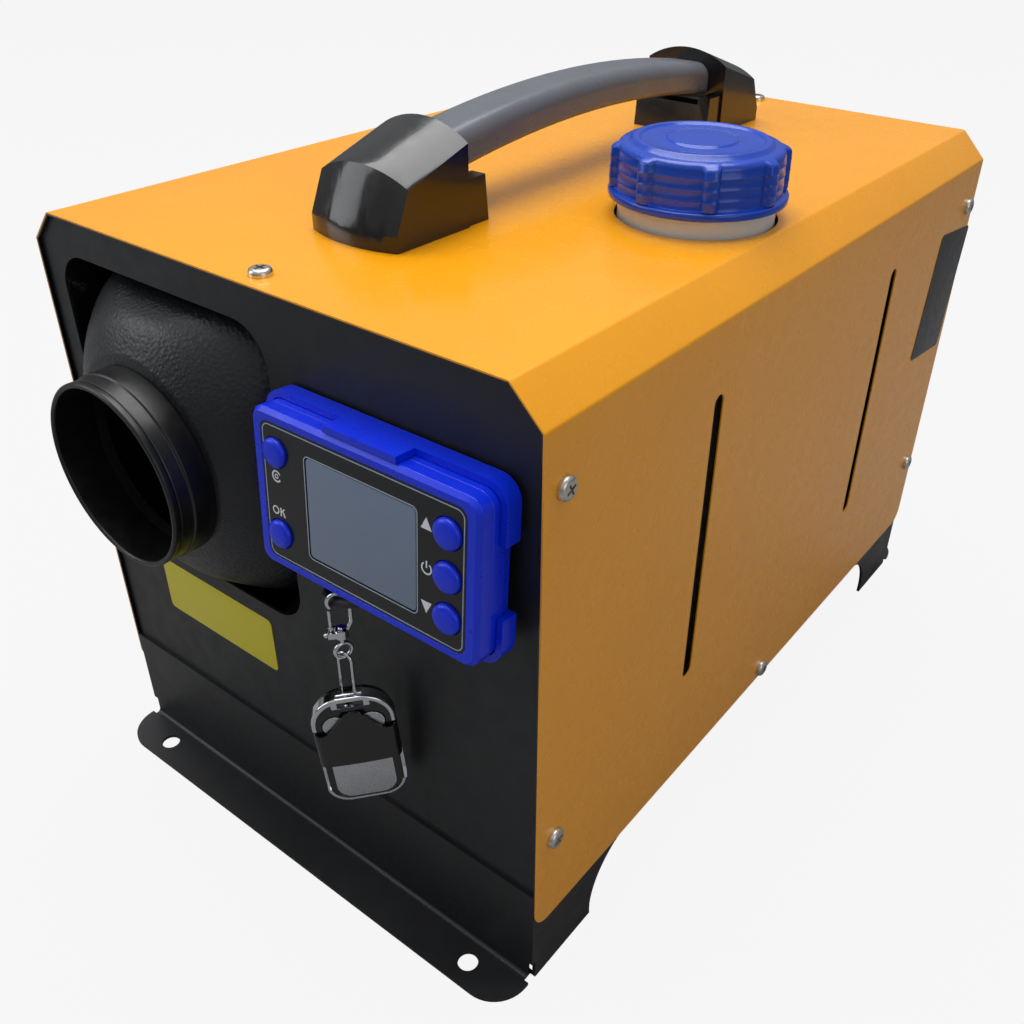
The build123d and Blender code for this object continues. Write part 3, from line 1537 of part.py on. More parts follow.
shell_gap = 0.05
shell_wall_in = 1.2
shell_half = fob_half - fob_wall - shell_gap
back_half = fob_half - 0.8
shell_up = (window_up[0] + shell_gap, window_up[1] - shell_gap)
cavity_up = (shell_up[0] + shell_wall_in, -fob_hanger - shell_wall_in)
cavity_out = (fob_back_out + 1.0, fob_face - shell_wall_in)
board_up = (cavity_up[0] + 1, cavity_up[1] - 1)
with BuildPart() as fob_shell:
    add(fob_slab(back_half, (0.8 - fob_length, -0.8), (fob_back_out, fob_frame_out[0] - shell_gap), fob_corners))
    fillet(fob_shell.faces().sort_by(fob_outwards)[0].edges(), 0.8)
    add(fob_slab(shell_half, shell_up, (fob_frame_out[0] - shell_gap, fob_face), window_corners))
    # Silver plate below the slider
    add(fob_slab(11.4, (-50.2, -30.6), (fob_face - 0.1, fob_face + 0.35), (0.5, 6)))
    # Room for the hanger block, and for the link where it turns on the bar
    room = (fob_frame_out[0] - 0.1, fob_face + 1)
    add(fob_slab(hanger_half + shell_gap, (-fob_hanger - shell_gap, 1), room, None), mode=Mode.SUBTRACT)
    add(fob_slab(slot_half, (0.9 - fob_hanger, 1), link_slot, None), mode=Mode.SUBTRACT)
    add(fob_slab(shell_half - shell_wall_in, cavity_up, cavity_out, (9.2, 6.2)), mode=Mode.SUBTRACT)
    with BuildSketch(fob_plane(fob_face)):
        with Locations(*fob_button_places):
            Circle(fob_button_radius + loose_gap)
    extrude(amount=0.2 - fob_face, mode=Mode.SUBTRACT)
    # Pillars under the board
    with BuildSketch(fob_plane(cavity_out[0] - 0.1)):
        with Locations((0, (board_up[0] + board_up[1]) / 2)):
            with GridLocations(18, 30, 2, 2):
                Circle(1.3)
    extrude(amount=-board_depth - cavity_out[0] + 0.1)
write_piece(fob_shell, "fob_shell")

with BuildPart() as fob_board:
    add(fob_slab(11.0, board_up, (-board_depth, 0), (6, 5)))
write_piece(fob_board, "fob_board")

with BuildPart() as fob_slider:
    with BuildSketch(fob_section(slider_top)):
        add(rounded_saddle(fob_half, slider_front, 2.6, skirt_out))
        add(
            rounded_saddle(fob_half - slider_wall, slider_front - slider_wall, 1.3),
            mode=Mode.SUBTRACT,
        )
    extrude(amount=slider_top - slider_bottom)
    # The top edge dips on both sides, where two buttons show; the bottom edge curves a little
    with BuildSketch(fob_plane(0)):
        with BuildLine():
            Spline(
                (-18, -13.0), (-15.0, -14.6), (-12.6, -16.0), (-8.2, -13.5), (-5.4, -10.0), (-2.6, -6.7),
                (0, slider_top),
                (2.6, -6.7), (5.4, -10.0), (8.2, -13.5), (12.6, -16.0), (15.0, -14.6), (18, -13.0),
            )
            Polyline((18, -13.0), (18, -5), (-18, -5), (-18, -13.0))
        make_face()
        with BuildLine():
            ThreePointArc((-18, slider_bottom + 1.0), (0, slider_bottom), (18, slider_bottom + 1.0))
            Polyline((18, slider_bottom + 1.0), (18, -40), (-18, -40), (-18, slider_bottom + 1.0))
        make_face()
    extrude(amount=9, mode=Mode.SUBTRACT)
write_piece(fob_slider, "fob_slider")

for number, place in enumerate(fob_button_places, start=1):
    with BuildPart() as fob_button:
        with BuildSketch(fob_plane(fob_button_travel + loose_gap)):
            with Locations(place):
                Circle(fob_button_radius)
        extrude(amount=fob_face + 0.45 - fob_button_travel - loose_gap)
        fillet(fob_button.faces().sort_by(fob_outwards)[-1].edges(), 0.25)
    write_piece(fob_button, f"fob_button_{number}")
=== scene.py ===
import json
import math

import bmesh
import bpy
from mathutils import Matrix, Vector

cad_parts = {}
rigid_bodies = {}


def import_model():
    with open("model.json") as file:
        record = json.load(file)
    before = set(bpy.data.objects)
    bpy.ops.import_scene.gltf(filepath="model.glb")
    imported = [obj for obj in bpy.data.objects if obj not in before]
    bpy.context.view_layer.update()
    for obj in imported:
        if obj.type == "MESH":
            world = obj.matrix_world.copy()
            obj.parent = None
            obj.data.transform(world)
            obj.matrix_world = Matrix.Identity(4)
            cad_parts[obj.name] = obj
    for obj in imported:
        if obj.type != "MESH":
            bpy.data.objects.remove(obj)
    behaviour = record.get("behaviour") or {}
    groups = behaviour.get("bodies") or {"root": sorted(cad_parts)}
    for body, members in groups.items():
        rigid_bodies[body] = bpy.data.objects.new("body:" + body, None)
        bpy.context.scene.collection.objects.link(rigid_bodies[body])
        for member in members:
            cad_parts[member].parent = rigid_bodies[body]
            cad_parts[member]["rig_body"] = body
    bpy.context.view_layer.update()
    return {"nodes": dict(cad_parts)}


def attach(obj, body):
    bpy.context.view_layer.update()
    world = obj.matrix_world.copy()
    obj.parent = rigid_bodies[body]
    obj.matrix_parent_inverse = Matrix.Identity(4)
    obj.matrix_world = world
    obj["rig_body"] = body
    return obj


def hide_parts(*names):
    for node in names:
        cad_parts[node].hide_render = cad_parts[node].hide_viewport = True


# A diesel air heater in its carrying case, dressed for rendering.
# Sizes below are millimetres in the shared frame; MM turns them into metres.

MM = 0.001
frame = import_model()

# ---------------------------------------------------------------- sizes shared with the CAD

case_half_width = 125.0
case_top = 265.0
corner_bevel = 12.5
panel_front_y = -181.5
heater_x = -54.4
heater_z = 183.8
spigot_bore = 35.2
spigot_root = 195.5
neck_centre = (77.1, -23.9)

controller_centre = Vector((66.0, -200.5, 203.9))
controller_lean = math.radians(4.3)
controller_roll = math.radians(0.4)
controller_height = 59.5
chain_x = 50.4
chain_y = -199.0
fob_top_z = 127.4
fob_yaw = math.radians(46.7)
fob_tilt = math.radians(4.5)
bar_drop = 2.2


# ---------------------------------------------------------------- materials

def linear(red, green, blue):
    """Linear colour for a colour given as 0 to 255."""
    values = []
    for channel in (red, green, blue):
        share = channel / 255
        values.append(share / 12.92 if share <= 0.04045 else ((share + 0.055) / 1.055) ** 2.4)
    return (*values, 1.0)


class Finish:
    """A Principled material whose colour, roughness and grain come from textures in the piece's own space."""

    def __init__(self, name, metallic=0.0, **sockets):
        self.material = bpy.data.materials.new(name)
        self.material.use_nodes = True
        self.nodes = self.material.node_tree.nodes
        self.links = self.material.node_tree.links
        self.shader = self.nodes["Principled BSDF"]
        self.shader.inputs["Metallic"].default_value = metallic
        for socket, value in sockets.items():
            self.shader.inputs[socket.replace("_", " ")].default_value = value
        self.place = self.nodes.new("ShaderNodeTexCoord").outputs["Object"]
        self.height = None

    def stretched(self, scale):
        """The piece's coordinates, scaled differently along each axis."""
        mapping = self.nodes.new("ShaderNodeMapping")
        mapping.inputs["Scale"].default_value = scale
        self.links.new(self.place, mapping.inputs["Vector"])
        return mapping.outputs["Vector"]

    def noise(self, size, detail=2.0, scale=None):
        """Soft noise with features of this size in millimetres."""
        texture = self.nodes.new("ShaderNodeTexNoise")
        texture.inputs["Scale"].default_value = 1 / (size * MM)
        texture.inputs["Detail"].default_value = detail
        self.links.new(self.stretched(scale) if scale else self.place, texture.inputs["Vector"])
        return texture.outputs["Fac"]

    def cells(self, size, feature="SMOOTH_F1"):
        """Rounded cells of this size in millimetres."""
        texture = self.nodes.new("ShaderNodeTexVoronoi")
        texture.feature = feature
        texture.inputs["Scale"].default_value = 1 / (size * MM)
        self.links.new(self.place, texture.inputs["Vector"])
        return texture.outputs["Distance"]

    def ranged(self, value, low, high, start=0.3, end=0.7):
        """The value's middle range mapped to low and high."""
        spread = self.nodes.new("ShaderNodeMapRange")
        spread.inputs["From Min"].default_value = start
        spread.inputs["From Max"].default_value = end
        spread.inputs["To Min"].default_value = low
        spread.inputs["To Max"].default_value = high
        self.links.new(value, spread.inputs["Value"])
        return spread.outputs["Result"]

    def color(self, first, second, mask):
        """Base colour mixed from two colours by a mask."""
        self.links.new(self.mix(first, second, mask), self.shader.inputs["Base Color"])
        return self

    def mix(self, first, second, mask):
        """Colour mixed from two colours or colour outputs by a mask."""
        node = self.nodes.new("ShaderNodeMix")
        node.data_type = "RGBA"
        for socket, value in ((node.inputs["A"], first), (node.inputs["B"], second)):
            if isinstance(value, tuple):
                socket.default_value = value
            else:
                self.links.new(value, socket)
        self.links.new(mask, node.inputs["Factor"])
        return node.outputs["Result"]

    def math(self, operation, first, second=None):
        """Result of a calculation on one output, with a number or a second output."""
        node = self.nodes.new("ShaderNodeMath")
        node.operation = operation
        self.links.new(first, node.inputs[0])
        if isinstance(second, float):
            node.inputs[1].default_value = second
        elif second is not None:
            self.links.new(second, node.inputs[1])
        return node.outputs[0]

    def roughness(self, low, high, mask):
        """Roughness between two values by a mask."""
        self.links.new(self.ranged(mask, low, high), self.shader.inputs["Roughness"])
        return self

    def grain(self, mask, depth, strength=1.0):
        """Relief of this depth in millimetres, on top of any relief there is already."""
        bump = self.nodes.new("ShaderNodeBump")
        bump.inputs["Strength"].default_value = strength
        bump.inputs["Distance"].default_value = depth * MM
        self.links.new(mask, bump.inputs["Height"])
        if self.height:
            self.links.new(self.height, bump.inputs["Normal"])
        self.height = bump.outputs["Normal"]
        self.links.new(self.height, self.shader.inputs["Normal"])
        return self


def powder_coat(name, first, second, roughness, grain_size, grain_depth, **sockets):
    """Baked powder coat: even colour with faint clouds, and a fine orange-peel surface."""
    finish = Finish(name, **sockets)
    finish.color(first, second, finish.noise(45, 3))
    finish.roughness(roughness[0], roughness[1], finish.noise(9, 4))
    finish.grain(finish.noise(grain_size * 4, 2), grain_depth * 1.6)
    finish.grain(finish.noise(grain_size, 2), grain_depth)
    return finish.material


def moulded(name, first, second, roughness, grain_size, grain_depth, **sockets):
    """Moulded plastic or rubber: slight flow marks and a fine even grain."""
    finish = Finish(name, **sockets)
    finish.color(first, second, finish.noise(14, 4))
    finish.roughness(roughness[0], roughness[1], finish.noise(5, 4))
    finish.grain(finish.noise(grain_size, 2), grain_depth)
    return finish.material


def metal(name, first, second, roughness, streak=(1, 1, 1), grain_depth=0.004, **sockets):
    """Bare or plated metal with fine streaks along one direction and a little staining."""
    finish = Finish(name, metallic=1.0, **sockets)
    finish.color(first, second, finish.noise(8, 4))
    finish.roughness(roughness[0], roughness[1], finish.noise(0.8, 4, streak))
    finish.grain(finish.noise(0.5, 3, streak), grain_depth)
    return finish.material


def cover_paint():
    """Gloss amber on the outside of the cover; its inside is painted near-black, a painted shade for the
    unlit inside of the case.
    """
    finish = Finish("amber_paint", Coat_Weight=0.3, Coat_Roughness=0.12)
    sheet_inside = 0.6
    inner_x = (case_half_width - sheet_inside) * MM
    inner_z = (case_top - sheet_inside) * MM
    inner_bevel = (case_half_width + case_top - corner_bevel - sheet_inside * math.sqrt(2)) * MM
    parts = finish.nodes.new("ShaderNodeSeparateXYZ")
    finish.links.new(finish.place, parts.inputs[0])
    side = finish.math("ABSOLUTE", parts.outputs["X"])
    top = parts.outputs["Z"]
    # Mask of the cover's inner faces, which get painted shade in place of amber
    inside = finish.math("LESS_THAN", side, inner_x)
    inside = finish.math("MULTIPLY", inside, finish.math("LESS_THAN", top, inner_z))
    bevel_inside = finish.math("LESS_THAN", finish.math("ADD", side, top), inner_bevel)
    inside = finish.math("MULTIPLY", inside, bevel_inside)
    outer = finish.mix(linear(246, 160, 2), linear(252, 170, 6), finish.noise(60, 3))
    # Painted shade: near-black on the inner faces, amber everywhere else
    finish.links.new(finish.mix(outer, linear(10, 9, 8), inside), finish.shader.inputs["Base Color"])
    finish.roughness(0.22, 0.30, finish.noise(9, 4))
    finish.grain(finish.noise(1.6, 1), 0.0016)
    return finish.material


amber_paint = cover_paint()
panel_paint = powder_coat(
    "panel_paint", linear(20, 21, 23), linear(27, 28, 30), (0.40, 0.52), 0.45, 0.02,
)
tray_paint = powder_coat(
    "tray_paint", linear(18, 18, 20), linear(25, 26, 28), (0.36, 0.46), 0.5, 0.02,
)
zinc = metal("zinc", linear(226, 222, 212), linear(200, 196, 186), (0.22, 0.34))
grip_grey = moulded("grip_grey", linear(92, 95, 102), linear(104, 107, 114), (0.26, 0.36), 0.5, 0.006)
gloss_black = moulded(
    "gloss_black", linear(10, 10, 11), linear(15, 15, 17), (0.16, 0.26), 0.6, 0.006,
    Coat_Weight=0.3, Coat_Roughness=0.08,
)
collar_black = moulded("collar_black", linear(12, 12, 13), linear(18, 18, 20), (0.28, 0.40), 0.5, 0.008)
cap_blue = moulded(
    "cap_blue", linear(4, 58, 172), linear(8, 66, 184), (0.20, 0.30), 0.6, 0.004,
    Coat_Weight=0.2, Coat_Roughness=0.12,
)
controller_blue = moulded(
    "controller_blue", linear(2, 40, 214), linear(5, 48, 226), (0.26, 0.36), 0.5, 0.005,
)
face_film = moulded(
    "face_film", linear(11, 11, 14), linear(14, 14, 18), (0.20, 0.28), 0.8, 0.002,
)
screen_glass = moulded(
    "screen_glass", linear(112, 125, 146), linear(122, 135, 156), (0.16, 0.24), 2.0, 0.001,
)
screen_border = moulded("screen_border", linear(160, 172, 188), linear(172, 184, 198), (0.3, 0.4), 1.0, 0.004)
white_ink = moulded("white_ink", linear(225, 228, 232), linear(236, 238, 240), (0.45, 0.55), 0.4, 0.004)
black_rubber = moulded("black_rubber", linear(14, 14, 15), linear(22, 22, 23), (0.50, 0.66), 0.4, 0.02)
tank_plastic = moulded(
    "tank_plastic", linear(214, 215, 212), linear(226, 226, 222), (0.38, 0.5), 0.6, 0.012,
    Subsurface_Weight=0.15, Subsurface_Scale=0.004,
)
filter_plastic = moulded(
    "filter_plastic", linear(216, 206, 176), linear(228, 220, 190), (0.14, 0.22), 0.8, 0.004,
)
circuit_green = moulded("circuit_green", linear(14, 82, 48), linear(20, 96, 58), (0.28, 0.4), 0.7, 0.01)
wheel_plastic = moulded("wheel_plastic", linear(34, 35, 38), linear(42, 43, 46), (0.4, 0.5), 0.5, 0.01)
motor_paint = moulded("motor_paint", linear(70, 73, 78), linear(80, 83, 88), (0.34, 0.44), 0.6, 0.01)
cast_alloy = metal("cast_alloy", linear(168, 170, 174), linear(140, 142, 146), (0.42, 0.6), grain_depth=0.05)
drawn_steel = metal("drawn_steel", linear(176, 174, 170), linear(150, 148, 146), (0.24, 0.36), (0.2, 0.2, 3))
chrome = metal("chrome", linear(224, 225, 228), linear(206, 208, 212), (0.05, 0.10), grain_depth=0.0008)
brushed_silver = metal(
    "brushed_silver", linear(206, 208, 212), linear(186, 188, 192), (0.22, 0.34), (1, 1, 6),
)
fob_black = moulded("fob_black", linear(12, 12, 13), linear(17, 17, 19), (0.22, 0.34), 0.4, 0.006)
label_dark = moulded("label_dark", linear(24, 25, 28), linear(31, 32, 36), (0.30, 0.4), 0.5, 0.004)
label_pale = moulded("label_pale", linear(212, 198, 34), linear(220, 206, 42), (0.34, 0.44), 0.5, 0.002)


def pebble_finish():
    """Black plastic with a rounded pebble grain, about a millimetre across."""
    finish = Finish("hood_black")
    finish.color(linear(20, 21, 24), linear(30, 31, 35), finish.noise(20, 3))
    finish.roughness(0.32, 0.46, finish.noise(2, 3))
    finish.grain(finish.cells(1.3), 0.20)
    finish.grain(finish.noise(0.35, 2), 0.02)
    return finish.material


hood_black = pebble_finish()

node_finishes = {
    amber_paint: ["cover"],
    panel_paint: ["front_panel", "rear_panel"],
    tray_paint: ["base_tray", "heater_bracket"],
    zinc: ["cover_screws"],
    grip_grey: ["handle_grip"],
    gloss_black: ["handle_feet"],
    collar_black: ["outlet_collar", "inlet_grille"],
    hood_black: ["outlet_hood", "heater_lower_shell", "heater_upper_shell"],
    cast_alloy: ["heat_exchanger", "blower_housing"],
    drawn_steel: [
        "burner_tube", "glow_plug", "motor_shaft", "exhaust_pipe", "intake_pipe", "fuel_pump", "pump_plunger",
    ],
    motor_paint: ["fan_motor"],
    circuit_green: ["control_board", "controller_board", "fob_board"],
    wheel_plastic: ["combustion_wheel", "air_impeller"],
    tank_plastic: ["fuel_tank_lower", "fuel_tank_upper", "filler_neck"],
    cap_blue: ["fuel_cap"],
    filter_plastic: ["fuel_filter"],
    black_rubber: [
        "cap_liner", "pump_mount", "fuel_hoses", "cable_grommet", "power_grommet", "controller_cable",
    ],
    controller_blue: [
        "controller_holder", "controller_back", "controller_bezel", "button_tune", "button_confirm",
        "button_up", "button_power", "button_down",
    ],
    face_film: ["controller_faceplate"],
    screen_glass: ["controller_screen"],
    chrome: ["clasp_hook", "clasp_gate", "clasp_swivel", "link_ring", "fob_frame"],
    fob_black: ["fob_shell", "fob_slider"],
    brushed_silver: ["fob_button_1", "fob_button_2", "fob_button_3", "fob_button_4"],
}
for material, names in node_finishes.items():
    for name in names:
        mesh = frame["nodes"][name].data
        mesh.materials.clear()
        mesh.materials.append(material)


# ---------------------------------------------------------------- mesh helpers

def show(name, mesh, material, body, smooth_angle=40):
    """A new piece from a mesh in metres, riding on a body."""
    piece = bpy.data.objects.new(name, mesh)
    bpy.context.scene.collection.objects.link(piece)
    mesh.materials.clear()
    mesh.materials.append(material)
    for polygon in mesh.polygons:
        polygon.use_smooth = True
    mesh.set_sharp_from_angle(angle=math.radians(smooth_angle))
    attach(piece, body)
    return piece


def grid_mesh(name, rings, place, closed_along=False):
    """Mesh through rings of equal length, given in millimetres and put in place by a matrix."""
    shape = bmesh.new()
    rows = [[shape.verts.new(place @ (Vector(point) * MM)) for point in ring] for ring in rings]
    pairs = list(zip(rows, rows[1:]))
    if closed_along:
        pairs.append((rows[-1], rows[0]))
    count = len(rings[0])
    for near, far in pairs:
        for i in range(count):
            j = (i + 1) % count
            shape.faces.new((near[i], near[j], far[j], far[i]))
    if not closed_along:
        shape.faces.new(list(reversed(rows[0])))
        shape.faces.new(rows[-1])
    bmesh.ops.remove_doubles(shape, verts=shape.verts, dist=1e-7)
    bmesh.ops.recalc_face_normals(shape, faces=shape.faces)
    mesh = bpy.data.meshes.new(name)
    shape.to_mesh(mesh)
    shape.free()
    return mesh


def axes_matrix(origin, across, up, out):
    """Matrix that places points given across, up and out from an origin in millimetres."""
    turned = Matrix((across, up, out)).transposed().to_4x4()
    return Matrix.Translation(Vector(origin) * MM) @ turned


upright = Matrix.Identity(4)


def about_y(centre_x, centre_z):
    """Placement of a turned piece whose axis runs along Y; its own third axis points to the front."""
    return axes_matrix((centre_x, 0, centre_z), Vector((1, 0, 0)), Vector((0, 0, 1)), Vector((0, -1, 0)))


def turned_rings(outline, steps=96):
    """Rings of a turned shape, from its outline of (radius, height) points."""
    rings = []
    for radius, height in outline:
        ring = []
        for step in range(steps):
            angle = 2 * math.pi * step / steps
            ring.append((radius * math.cos(angle), radius * math.sin(angle), height))
        rings.append(ring)
    return rings


def rounded_outline(outline, radius, steps=4):
    """Closed outline of (a, b) points with its corners rounded by short curves."""
    result = []
    count = len(outline)
    for i, corner in enumerate(outline):
        before = Vector(outline[i - 1])
        after = Vector(outline[(i + 1) % count])
        here = Vector(corner)
        into = before - here
        out = after - here
        reach = min(radius, into.length * 0.45, out.length * 0.45)
        start = here + into.normalized() * reach
        end = here + out.normalized() * reach
        for step in range(steps + 1):
            t = step / steps
            result.append(tuple(start * (1 - t) ** 2 + here * 2 * t * (1 - t) + end * t**2))
    return result


def rounded_rectangle(width, height, radius, steps=8, centre=(0.0, 0.0)):
    """Outline of a rectangle with round corners, counter-clockwise."""
    points = []
    half_width = width / 2 - radius
    half_height = height / 2 - radius
    for corner, (x, y) in enumerate(((1, 1), (-1, 1), (-1, -1), (1, -1))):
        for step in range(steps + 1):
            angle = math.pi / 2 * (corner + step / steps)
            points.append((
                centre[0] + x * half_width + radius * math.cos(angle),
                centre[1] + y * half_height + radius * math.sin(angle),
            ))
    return points


def inset_outline(outline, distance):
    """The outline moved inwards, corner by corner."""
    moved = []
    count = len(outline)
    for i in range(count):
        before = Vector(outline[i - 1])
        here = Vector(outline[i])
        after = Vector(outline[(i + 1) % count])
        first = (here - before).normalized()
        second = (after - here).normalized()
        inwards = Vector((-first.y, first.x)) + Vector((-second.y, second.x))
        if inwards.length < 1e-6:
            inwards = Vector((-first.y, first.x))
        inwards.normalize()
        moved.append(tuple(here + inwards * distance))
    return moved


def slab_rings(outline, low, high, top_round, bottom_round=0.0, steps=4):
    """Rings of a slab between two heights, with its rims rounded."""
    levels = []
    if bottom_round:
        for step in range(steps + 1):
            angle = math.pi / 2 * step / steps
            levels.append((bottom_round * (1 - math.sin(angle)), low + bottom_round * (1 - math.cos(angle))))
    else:
        levels.append((0.0, low))
    for step in range(steps + 1):
        angle = math.pi / 2 * step / steps
        levels.append((top_round * (1 - math.cos(angle)), high - top_round * (1 - math.sin(angle))))
    rings = []
    for inset, height in levels:
        ring = inset_outline(outline, inset) if inset else outline
        rings.append([(x, y, height) for x, y in ring])
    return rings


def softened(node, radius, material, body=None, angle=32, segments=3):
    """A copy of a CAD node's shape with its sharp edges rounded, which stands for the node."""
    source = frame["nodes"][node]
    shape = bmesh.new()
    shape.from_mesh(source.data)
    bmesh.ops.remove_doubles(shape, verts=shape.verts, dist=1e-6)
    bmesh.ops.dissolve_limit(
        shape, angle_limit=math.radians(0.5), verts=shape.verts, edges=shape.edges,
        use_dissolve_boundaries=False,
    )
    mesh = bpy.data.meshes.new(node + "_soft")
    shape.to_mesh(mesh)
    shape.free()
    piece = show(node + "_soft", mesh, material, body or source["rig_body"], smooth_angle=angle)
    bevel = piece.modifiers.new("rounded_edges", "BEVEL")
    bevel.width = radius * MM
    bevel.segments = segments
    bevel.limit_method = "ANGLE"
    bevel.angle_limit = math.radians(angle)
    bevel.harden_normals = True
    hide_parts(node)
    return piece


# ---------------------------------------------------------------- case

softened("cover", 0.35, amber_paint)
softened("front_panel", 0.3, panel_paint)
softened("rear_panel", 0.3, panel_paint)
softened("base_tray", 0.4, tray_paint)
softened("handle_feet", 1.3, gloss_black, angle=28)
softened("inlet_grille", 0.5, collar_black)

# Blank label plates, where the photograph has stickers
label_thickness = 0.25
side_label = {"centre": (160.5, 188.0), "size": (42.0, 66.0), "turn": math.radians(-6.5)}
front_label = {"centre": (-51.5, 100.8), "size": (73.0, 27.5)}
side_label_place = axes_matrix(
    (case_half_width, *side_label["centre"]),
    Vector((0, math.cos(side_label["turn"]), math.sin(side_label["turn"]))),
    Vector((0, -math.sin(side_label["turn"]), math.cos(side_label["turn"]))),
    Vector((1, 0, 0)),
)
front_label_place = axes_matrix(
    (front_label["centre"][0], panel_front_y, front_label["centre"][1]),
    Vector((1, 0, 0)), Vector((0, 0, 1)), Vector((0, -1, 0)),
)
for name, label, material, slot, place in (
    ("label_side", side_label, label_dark, "black_paint", side_label_place),
    ("label_front", front_label, label_pale, "amber_paint", front_label_place),
):
    rings = slab_rings(rounded_rectangle(*label["size"], 2.5), 0.0, label_thickness, 0.1)
    show(name, grid_mesh(name, rings, place), material, "case")


# ---------------------------------------------------------------- outlet hood and spigot

# (half width, half height, corner radius, y) of the hood, from the case to the spigot's root
hood_sections = [
    (57.5, 62.0, 24.0, -164.0),
    (56.5, 61.0, 34.0, -174.0),
    (54.0, 58.2, 44.0, -183.0),
    (48.5, 53.5, 47.0, -190.0),
    (41.0, 42.0, 40.9, -spigot_root),
]


def spline_between(values, t):
    """Smooth curve through equally spaced values, at t counted in values."""
    last = len(values) - 1
    i = min(int(t), last - 1)
    u = t - i
    p0 = values[max(i - 1, 0)]
    p1 = values[i]
    p2 = values[i + 1]
    p3 = values[min(i + 2, last)]
    return 0.5 * (2 * p1 + (p2 - p0) * u + (2 * p0 - 5 * p1 + 4 * p2 - p3) * u**2
                  + (3 * p1 - p0 - 3 * p2 + p3) * u**3)


def hood_ring(t, inset):
    """Ring of the hood's outer or inner surface."""
    half_width, half_height, radius, y = (spline_between(column, t) for column in zip(*hood_sections))
    half_width -= inset
    half_height -= inset
    radius = min(radius - inset, half_width, half_height)
    outline = rounded_rectangle(2 * half_width, 2 * half_height, radius, steps=16)
    return [(x, z, -y) for x, z in outline]


hood_steps = 24
hood_wall = 3.0
throat_depth = 4.5
last_section = len(hood_sections) - 1
outer = [hood_ring(last_section * step / hood_steps, 0.0) for step in range(hood_steps + 1)]
inner = [hood_ring(last_section * step / hood_steps, hood_wall) for step in range(hood_steps - 3)]
throat_radius = spigot_bore + 0.2
throat_outline = rounded_rectangle(2 * throat_radius, 2 * throat_radius, throat_radius, steps=16)
throat = [[(x, z, height) for x, z in throat_outline] for height in (spigot_root, spigot_root - throat_depth)]
hood_rings = outer + throat + list(reversed(inner))
hood = show(
    "hood_dome",
    grid_mesh("hood_dome", hood_rings, about_y(heater_x, heater_z), closed_along=True),
    hood_black, "case",
)
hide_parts("outlet_hood")

# (radius, distance along -Y) of the spigot's wall, with its snap groove
collar_outline = rounded_outline([
    (spigot_bore, spigot_root),
    (38.2, spigot_root),
    (38.2, 204.5),
    (37.5, 204.9),
    (37.3, 209.8),
    (37.1, 210.2),
    (37.5, 210.6),
    (37.5, 212.7),
    (36.8, 213.4),
    (35.8, 213.4),
    (spigot_bore, 212.6),
], 0.5)
collar = show(
    "spigot",
    grid_mesh("spigot", turned_rings(collar_outline, 128), about_y(heater_x, heater_z), closed_along=True),
    collar_black, "case",
)
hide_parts("outlet_collar")


# ---------------------------------------------------------------- fuel cap

cap_rib_count = 8
cap_rib_turn = math.radians(-8.0)
cap_rib_half_width = 3.0
cap_rib_radius = 33.0
cap_rib_height = 2.3
cap_steps = 384
mould_ring = 0.14
# (radius, height, share of the rib's height), from the rim of the bore over the top and back inside
cap_profile = [
    (29.0, 272.3, 0), (34.0, 272.3, 0), (34.45, 272.5, 0), (34.6, 273.0, 0), (34.6, 274.4, 0),
    (34.4, 274.9, 0), (33.9, 275.2, 0), (32.6, 275.3, 0), (32.2, 275.5, 0.8), (32.0, 276.0, 1),
    (32.0, 278.6, 1), (32.0 + mould_ring, 278.9, 1), (32.0, 279.2, 1),
    (31.95, 282.6, 1), (31.95 + mould_ring, 282.9, 1), (31.95, 283.2, 1),
    (31.85, 286.6, 1), (31.85 + mould_ring, 286.9, 1), (31.85, 287.2, 1),
    (31.7, 289.6, 1), (31.6, 290.2, 0.93), (31.3, 290.8, 0.7), (30.9, 291.3, 0.35), (30.4, 291.7, 0.1),
    (29.6, 292.0, 0), (27.6, 292.05, 0), (27.2, 292.2, 0), (26.2, 293.5, 0), (25.8, 293.75, 0),
    (25.3, 293.8, 0), (24.0, 293.8, 0), (23.6, 293.65, 0), (23.2, 293.1, 0), (22.8, 292.95, 0),
    (13.9, 292.95, 0), (13.5, 293.1, 0), (13.2, 293.6, 0), (12.8, 293.75, 0), (12.2, 293.8, 0),
    (0.01, 293.8, 0), (0.01, 290.0, 0), (28.6, 290.0, 0), (29.0, 289.6, 0),
]


def rib_bump(angle):
    """Share of the rib's height at an angle round the cap."""
    pitch = 2 * math.pi / cap_rib_count
    offset = (angle - cap_rib_turn + pitch / 2) % pitch - pitch / 2
    reach = abs(offset) * cap_rib_radius / cap_rib_half_width
    return (1 - reach**3) ** (1 / 3) if reach < 1 else 0.0


cap_rings = []
for radius, height, rib in cap_profile:
    ring = []
    for step in range(cap_steps):
        angle = 2 * math.pi * step / cap_steps
        reach = radius + cap_rib_height * rib * rib_bump(angle)
        x = neck_centre[0] + reach * math.cos(angle)
        y = neck_centre[1] + reach * math.sin(angle)
        ring.append((x, y, height))
    cap_rings.append(ring)
cap_mesh = grid_mesh("cap_ribbed", cap_rings, upright, closed_along=True)
cap = show("cap_ribbed", cap_mesh, cap_blue, "cap")
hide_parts("fuel_cap")


# ---------------------------------------------------------------- controller

face_out = Vector((0, -math.cos(controller_lean), math.sin(controller_lean)))
face_rise = Vector((0, math.sin(controller_lean), math.cos(controller_lean)))
face_across = Vector((math.cos(controller_roll), 0, 0)) + face_rise * math.sin(controller_roll)
face_up = face_rise * math.cos(controller_roll) - Vector((math.sin(controller_roll), 0, 0))
face_place = axes_matrix(controller_centre, face_across, face_up, face_out)

softened("controller_holder", 0.6, controller_blue)
softened("controller_back", 0.4, controller_blue)
softened("controller_bezel", 0.5, controller_blue, angle=28)
softened("controller_faceplate", 0.15, face_film)

